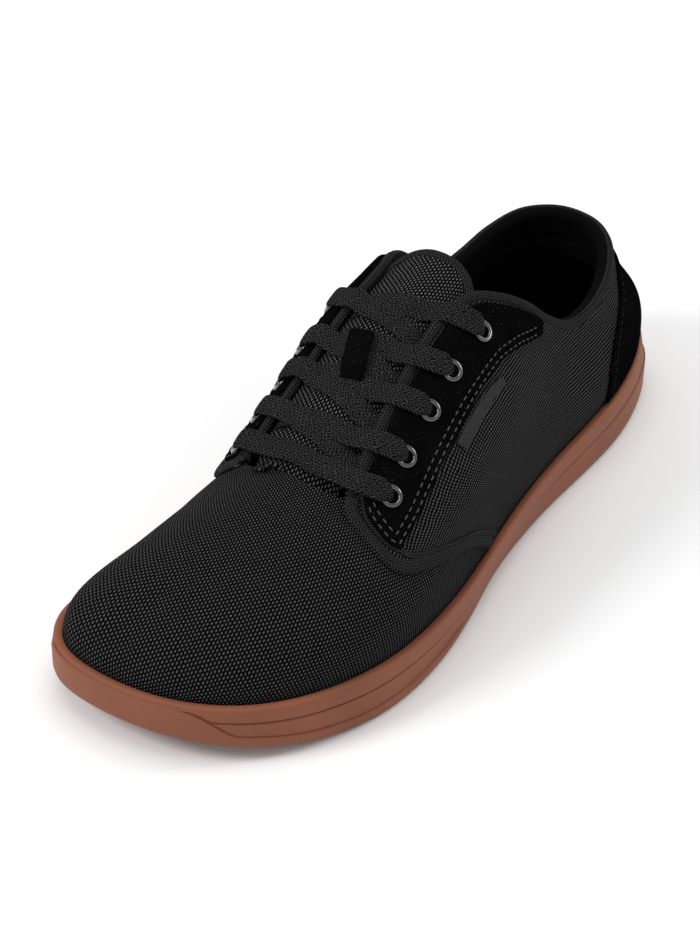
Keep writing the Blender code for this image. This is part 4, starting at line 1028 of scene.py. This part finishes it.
def sole():
    """Gum cupsole: tread, bumper lip, groove, rounded rim and inner wall."""
    share = np.linspace(0, 2, 560, endpoint=False)
    x = CURVE.at(share)[0][:, 0]
    low, rim = tread_height(x), rim_height(x)
    groove = low + side("groove", x) * (rim - low)
    band = side("band_in", x) * SOLE_WALL
    rim_in = rim_inset(x)
    toe = smoothstep(0.08, 0.16, x / LENGTH)
    bumper = smoothstep(BUMPER_FROM - 0.013, BUMPER_FROM + 0.027, x / LENGTH)
    carved = 1 - smoothstep(BUMPER_FROM + 0.005, BUMPER_FROM + 0.021, x / LENGTH)
    lip_top = LIP_HEIGHT + (rim - low - LIP_HEIGHT - 1.2 * MM) * bumper
    step = LIP_STEP * toe * (1 - 0.3 * bumper)
    edge, _ = CURVE.at(share, band + 2.4 * MM)
    rings = fan(x, edge, np.linspace(0, 1, 14), 0)

    def ring(inset, height):
        rings.append(np.column_stack([CURVE.at(share, inset)[0], height]))

    for more, above in ((1.2, 0.25), (0.5, 0.9), (0.2, 2.0)):
        ring(band + more * MM, low + above * MM)
    ring(band * 0.9, low + 3.2 * MM)
    crease = 0.55 * MM * toe * (1 - smoothstep(0.478, 0.484, x / LENGTH))
    for by_band, by_crease, by_step, above in (
            (0.85, 0, 0, -1.0), (0.82, 0, 0, -0.35), (0.8, 0.3, 0, -0.12), (0.8, 1, 0.5, 0),
            (0.8, 0.8, 0.9, 0.15), (0.8, 0, 1, 0.4)):
        inset = band * by_band + crease * by_crease + step * by_step
        ring(inset, low + lip_top + above * MM)
    inner_low = np.maximum(low + lip_top + 0.7 * MM, groove - 1.6 * MM)
    ring(band * 0.6 + step * 0.8, inner_low)
    width = 0.42 * MM
    below_in, above_in = band * 0.4 + step * 0.4, rim_in * 0.3
    reach = 1.6
    for where, deep in ((-reach, 0), (-1, 0.12), (-0.5, 0.75), (0, 1), (0.5, 0.75), (1, 0.12),
                        (reach, 0)):
        mix = (where + reach) / (2 * reach)
        height = np.maximum(groove + where * width, inner_low + (0.15 + 0.1 * where) * MM)
        height = np.minimum(height, rim - (1.15 - 0.05 * where) * MM)
        ring(below_in * (1 - mix) + above_in * mix + 1.3 * GROOVE_DEPTH * deep * carved, height)
    wall_in = SOLE_WALL / MM
    for by_rim, more, below in ((0.8, 0, 0.9), (0.9, 0.1, 0.45), (1, 0.45, 0.1), (1, 0.9, 0),
                                (1, wall_in - 0.6, 0.05), (1, wall_in, 0.4)):
        ring(rim_in * by_rim + more * MM, rim - below * MM)
    edge, _ = CURVE.at(share, rim_in + SOLE_WALL)
    rings += fan(x, edge, (1, 0.8, 0.5, 0.2, 0), SOLE_FLOOR)
    lofted("gum_sole", rings, RUBBER, "gum_rubber", "outsole")


def sock_liner():
    """Flat sock lining with a soft rounded edge."""
    share = np.linspace(0, 2, 240, endpoint=False)
    x = CURVE.at(share)[0][:, 0]
    edge, _ = CURVE.at(share, rim_inset(x) + SOLE_WALL + VAMP_WALL + 3 * GAP)
    profile = np.array(((0, 0), (0, 0.5), (0, 0.99), (0.6, 1), (2.2, 1), (2.8, 0.985), (3, 0.96),
                        (3, 0.8), (3, 0.4), (3, 0)))
    rings = fan(x, edge, profile[:, 1], SOLE_FLOOR + GAP + profile[:, 0] * MM)
    lofted("sock_liner", rings, SOCK, "black_lining", "insole")


def tongue_section(along):
    """Middle, half width, radius and crest of the tongue at a share of LENGTH."""
    sizes = (BALL_WIDTH, BALL_WIDTH, BALL_WIDTH, INSTEP_HEIGHT)
    return [smooth_table(TONGUE, along, column) * size for column, size in enumerate(sizes, 1)]


def tongue_point(along, across, out=0.0):
    """Point of the tongue's outer face. along: share of LENGTH, across: -1 medial to 1 lateral."""
    along, across = np.broadcast_arrays(np.asarray(along, float), np.asarray(across, float))
    out = np.broadcast_to(np.asarray(out, float), along.shape)
    middle, half, radius, crest = tongue_section(along)
    swing = np.arcsin(half / radius) * across
    y = middle + (radius + out) * np.sin(swing)
    z = crest - radius + (radius + out) * np.cos(swing)
    return np.stack([(along - 0.5) * LENGTH - CURVE.middle[0], y - CURVE.middle[1], z], -1)


def tongue_height(x, y):
    """Height of the tongue's outer face at a plan point."""
    along = np.clip((x + CURVE.middle[0]) / LENGTH + 0.5, TONGUE[0, 0], TONGUE[-1, 0])
    middle, half, radius, crest = tongue_section(along)
    off = np.clip(y + CURVE.middle[1] - middle, -half, half)
    return crest - radius + np.sqrt(radius**2 - off**2)


def tongue_end(across):
    """Where the tongue's free end lies, rounded back at its corners."""
    return TONGUE[0, 0] + 0.028 * np.abs(across)**3.2


def tongue():
    """Padded mesh tongue, quilted along both sides."""
    part = clustered(90, 0.01)
    across = 2 * clustered(36, 0.03) - 1
    p, a = np.meshgrid(part, across, indexing="ij")
    along = tongue_end(a) + (TONGUE[-1, 0] - tongue_end(a)) * p
    grid = tongue_point(along, a)
    drop = rounded(grid, 1.0 * MM)
    quilt = 0.35 * MM * np.exp(-((np.abs(a) - 0.72) / 0.08)**2)
    outer = tongue_point(along, a, -drop - quilt + 0.2 * MM * (1 - np.abs(a)))
    inner = tongue_point(along, a, -TONGUE_WALL + 0.4 * drop)
    uv = np.stack([along * LENGTH, arc_lengths(grid, 1)], -1)
    data = slab_data(outer, inner, uv)
    make("mesh_tongue", *data, TONGUE_KNIT, "black_knit", "tongue")


def tongue_binding():
    """Tape round the tongue's free end."""
    side_along = np.linspace(0.50, tongue_end(1.0), 14)[:-1]
    a = np.linspace(1, -1, 80)
    sides = np.ones(len(side_along))
    across = np.concatenate([sides, a, -sides])
    along = np.concatenate([side_along, tongue_end(a), side_along[::-1]])
    inside = 1.8 * MM / LENGTH
    path = tongue_point(along + inside, across * 0.96, -TONGUE_WALL / 2 + 0.1 * MM)
    out = unit(tongue_point(along, across, 1 * MM) - tongue_point(along, across))
    path = relax_path(path, 6)
    data = tube_data(path, out, 4.4 * MM, TONGUE_WALL + 1.4 * MM, ROUND)
    make("tongue_binding", *data, TAPE, "black_knit")


def relax_path(path, turns):
    """Evens out a path's inner points."""
    for _ in range(turns):
        path[1:-1] = 0.5 * path[1:-1] + 0.25 * (path[2:] + path[:-2])
    return path


def keeper():
    """Suede loop sewn to the tongue at both ends."""
    part = np.linspace(0, 1, 40)
    along = KEEPER_FROM + (KEEPER_TO - KEEPER_FROM) * part
    lift = (0.4 + 4.3 * np.minimum(1, 2.6 * np.sin(math.pi * part))) * MM
    path = relax_path(tongue_point(along, KEEPER_ASIDE - 0.25 * (1 - part), lift), 4)
    data = tube_data(path, np.array([0.3, 0, 1.0]), 8.5 * MM, 1.3 * MM, FLAT)
    make("suede_keeper", *data, SUEDE, "black_suede", "lace_keeper")


def rail(row, sign, up=1.0, out=0.0):
    """One point on a side of the upper, at the throat's edge unless up says otherwise."""
    return upper_point(np.array([on_side(row, sign)]), up, out)[0]


def eyelet_frame(level, sign):
    """Centre on the stay's outer face, and the axes there: along the stay, up it, and out."""
    row, up = EYELETS[sign][level]
    centre = rail(row, sign, up, EYELET_OUT)
    outward = unit(rail(row, sign, up, EYELET_OUT + MM) - centre)
    upward = rail(row, sign, up + 0.02, EYELET_OUT) - centre
    upward = unit(upward - outward * upward.dot(outward))
    return centre, np.cross(upward, outward), upward, outward


def eyelet_rings():
    """Turned eyelets: a rolled flange on the stay and a barrel through it."""
    profile = np.array([(2.15, -3.6), (2.6, -3.6), (2.6, -0.1), (3.4, 0.0), (3.9, 0.05), (4.05, 0.25),
                        (4.0, 0.5), (3.75, 0.8), (3.3, 1.0), (2.9, 0.95), (2.55, 0.75), (2.3, 0.35),
                        (2.15, -0.2)]) * MM
    angle = np.linspace(0, 2 * math.pi, 49)[:, None]
    for sign, name in ((1, "lateral"), (-1, "medial")):
        for level in range(LEVELS):
            centre, along, upward, outward = eyelet_frame(level, sign)
            spoke = np.cos(angle) * along + np.sin(angle) * upward
            rings = centre + spoke[:, None] * profile[:, :1] + outward * profile[:, 1:]
            lofted(f"ring_{name}_{level + 1}", rings, METAL, "gunmetal",
                   f"eyelet_{name}_{level + 1}")


def spline_through(points, count):
    """Smooth path through points, evenly sampled along its length."""
    knots = np.r_[0, np.cumsum(np.linalg.norm(np.diff(points, axis=0), axis=1)**0.5)]
    fine = np.linspace(0, knots[-1], 400)
    path = np.column_stack([curve_through(knots, column, np.gradient(column, knots), fine)
                            for column in points.T])
    run = arc_lengths(path, 0)
    return sampled(np.linspace(0, run[-1], count), run, path)


def near_edge(level, sign):
    """Where a strip crosses the throat's edge beside its own eyelet."""
    return rail(LACE_OVER[sign][level], sign, 1.0, 1.9 * MM + LACE_THICKNESS / 2)


def near_end(level, sign):
    """Points of a strip from inside its eyelet to the throat's edge, and its axes there."""
    centre, _, _, outward = eyelet_frame(level, sign)
    edge = near_edge(level, sign)
    toward = edge - centre
    toward = unit(toward - outward * toward.dot(outward))
    points = [centre - outward * 3.0 * MM, centre - outward * 0.8 * MM + toward * 0.2 * MM,
              centre + outward * 1.3 * MM + toward * 2.0 * MM,
              centre + outward * 1.9 * MM + toward * 4.6 * MM, edge]
    return points, toward, outward


def far_edge(level, sign):
    """Where a strip goes under the throat's other edge."""
    return rail(LACE_UNDER[-sign][level], -sign, 1.0, -VAMP_WALL - 1.6 * MM)


def crossing_share(level, sign):
    """Share of a strip's way over the tongue at which the level's two strips cross."""
    a, b = near_edge(level, sign)[:2], far_edge(level, sign)[:2]
    c, d = near_edge(level, -sign)[:2], far_edge(level, -sign)[:2]
    share, _ = np.linalg.solve(np.column_stack([b - a, c - d]), c - a)
    return share


def lace_path(level, sign, lift):
    """A strip from its eyelet over the tongue to below the far edge, raised where it crosses."""
    head, _, _ = near_end(level, sign)
    start = head[-1]
    t = np.array([0.12, 0.26, 0.40, 0.5, 0.60, 0.74, 0.88])[:, None]
    if level == LEVELS - 1:
        tail = near_end(level, -sign)[0][::-1]
        raised = 1.0
    else:
        end = far_edge(level, sign)
        tail = [end, rail(LACE_UNDER[-sign][level] + 0.05, -sign, 0.93, -VAMP_WALL - 1.4 * MM)]
        raised = np.exp(-((t[:, 0] - crossing_share(level, sign)) / 0.2)**2)
    body = start * (1 - t) + tail[0] * t
    over = 0.8 * MM * np.sin(math.pi * t[:, 0])
    bed = tongue_height(body[:, 0], body[:, 1]) + LACE_THICKNESS * 0.55
    body[:, 2] = np.maximum(body[:, 2] + over, bed) + lift * raised
    return spline_through(np.vstack([head, body, tail]), 70)


def turned_to_eyelet(out, wide, thick, run, level, sign):
    """Turns a strip's flat side and folds it narrow where it enters its eyelet."""
    _, toward, outward = near_end(level, sign)
    near = smoothstep(10 * MM, 4 * MM, run)[:, None]
    out = unit(out * (1 - near) + unit(outward * 0.6 - toward) * near)
    wide = wide * (1 - 0.5 * smoothstep(8 * MM, 2 * MM, run))
    thick = thick * (1 + 0.8 * smoothstep(7 * MM, 1.5 * MM, run))
    return out, wide, thick


def lace_strips():
    """Flat laces: a bar at the lowest eyelets and four crossings above it."""
    parts = []
    plan = [(LEVELS - 1, -1, 0.0)]
    for level in range(LEVELS - 1):
        upper_sign = 1 if level == 1 else -1
        plan += [(level, upper_sign, 1.9 * MM), (level, -upper_sign, 0.1 * MM)]
    for level, sign, lift in plan:
        path = lace_path(level, sign, lift)
        run = arc_lengths(path, 0)
        along = unit(np.gradient(path, axis=0))
        out = unit(np.cross(along, np.array([1, 0, -0.45])))
        out *= np.where(out[:, 2:] < 0, -1, 1)
        size = (out, LACE_WIDTH, LACE_THICKNESS)
        size = turned_to_eyelet(*size, run, level, sign)
        if level == LEVELS - 1:
            size = turned_to_eyelet(*size, run[-1] - run, level, -sign)
        parts.append(tube_data(path, *size, FLAT, 0.25))
    make("lace_strips", *merged(parts), LACE, "lace_cord", "laces")


def pointed(obj, x, y, z, place):
    """Puts a lamp or camera in the scene, with its axes and place given."""
    obj.matrix_world = Matrix(np.vstack([np.column_stack([x, y, z, place]), (0, 0, 0, 1)]))
    bpy.context.scene.collection.objects.link(obj)


def studio():
    """Pale floor, white surroundings, soft lights and the photo's camera."""
    scene = bpy.context.scene
    scene.view_settings.view_transform = "Standard"
    world = bpy.data.worlds.new("white_studio")
    scene.world = world
    world.use_nodes = True
    background = world.node_tree.nodes["Background"]
    background.inputs["Color"].default_value = (1, 1, 1, 1)
    background.inputs["Strength"].default_value = 0.62
    floor_mesh = bpy.data.meshes.new("floor")
    half, below = 3.0, -0.2 * MM
    corners = [(x * half, y * half, below) for x, y in ((-1, -1), (1, -1), (1, 1), (-1, 1))]
    floor_mesh.from_pydata(corners, [], [(0, 1, 2, 3)])
    floor = bpy.data.objects.new("floor", floor_mesh)
    floor_mesh.materials.append(Finish("pale_floor", grey(0.93), 1.0, Specular_IOR_Level=0.0).material)
    scene.collection.objects.link(floor)
    for name, place, size, power in (("glint", (-0.9, 0.95, 0.75), 0.3, 4),
                                     ("key", (1.0, -0.7, 1.1), 0.5, 11),
                                     ("top", (0.0, 0.0, 1.6), 1.1, 7.5)):
        light = bpy.data.lights.new(name, "AREA")
        light.size = size
        light.energy = power
        z = unit(np.array(place) - (0, 0, 0.05))
        x = unit(np.cross(np.array([0.01, 1, 0.02]), z))
        pointed(bpy.data.objects.new(name, light), x, np.cross(z, x), z, place)
    # The photo's view: angles in degrees, and the place in millimetres before centring
    azimuth, elevation, roll = np.radians((34.98, 37.69, 1.17))
    place = np.array([607.2, 407.2, 592.3]) * MM - [*CURVE.middle, 0]
    back = np.array([math.cos(elevation) * math.cos(azimuth), math.cos(elevation) * math.sin(azimuth),
                     math.sin(elevation)])
    right = np.array([-math.sin(azimuth), math.cos(azimuth), 0])
    up = np.cross(right, -back)
    lens = bpy.data.cameras.new("camera")
    lens.lens = 100.57
    lens.sensor_width = 36
    lens.clip_start = 0.01
    scene.camera = bpy.data.objects.new("camera", lens)
    pointed(scene.camera, math.cos(roll) * right + math.sin(roll) * up,
            -math.sin(roll) * right + math.cos(roll) * up, back, place)


studio()
vamp()
quarters()
collar_lining()
edge_binding()
for side_sign in (1, -1):
    eyestay(side_sign)
stay_stitching()
heel_counter()
counter_seam()
woven_tab()
sole()
sock_liner()
tongue()
tongue_binding()
keeper()
eyelet_rings()
lace_strips()
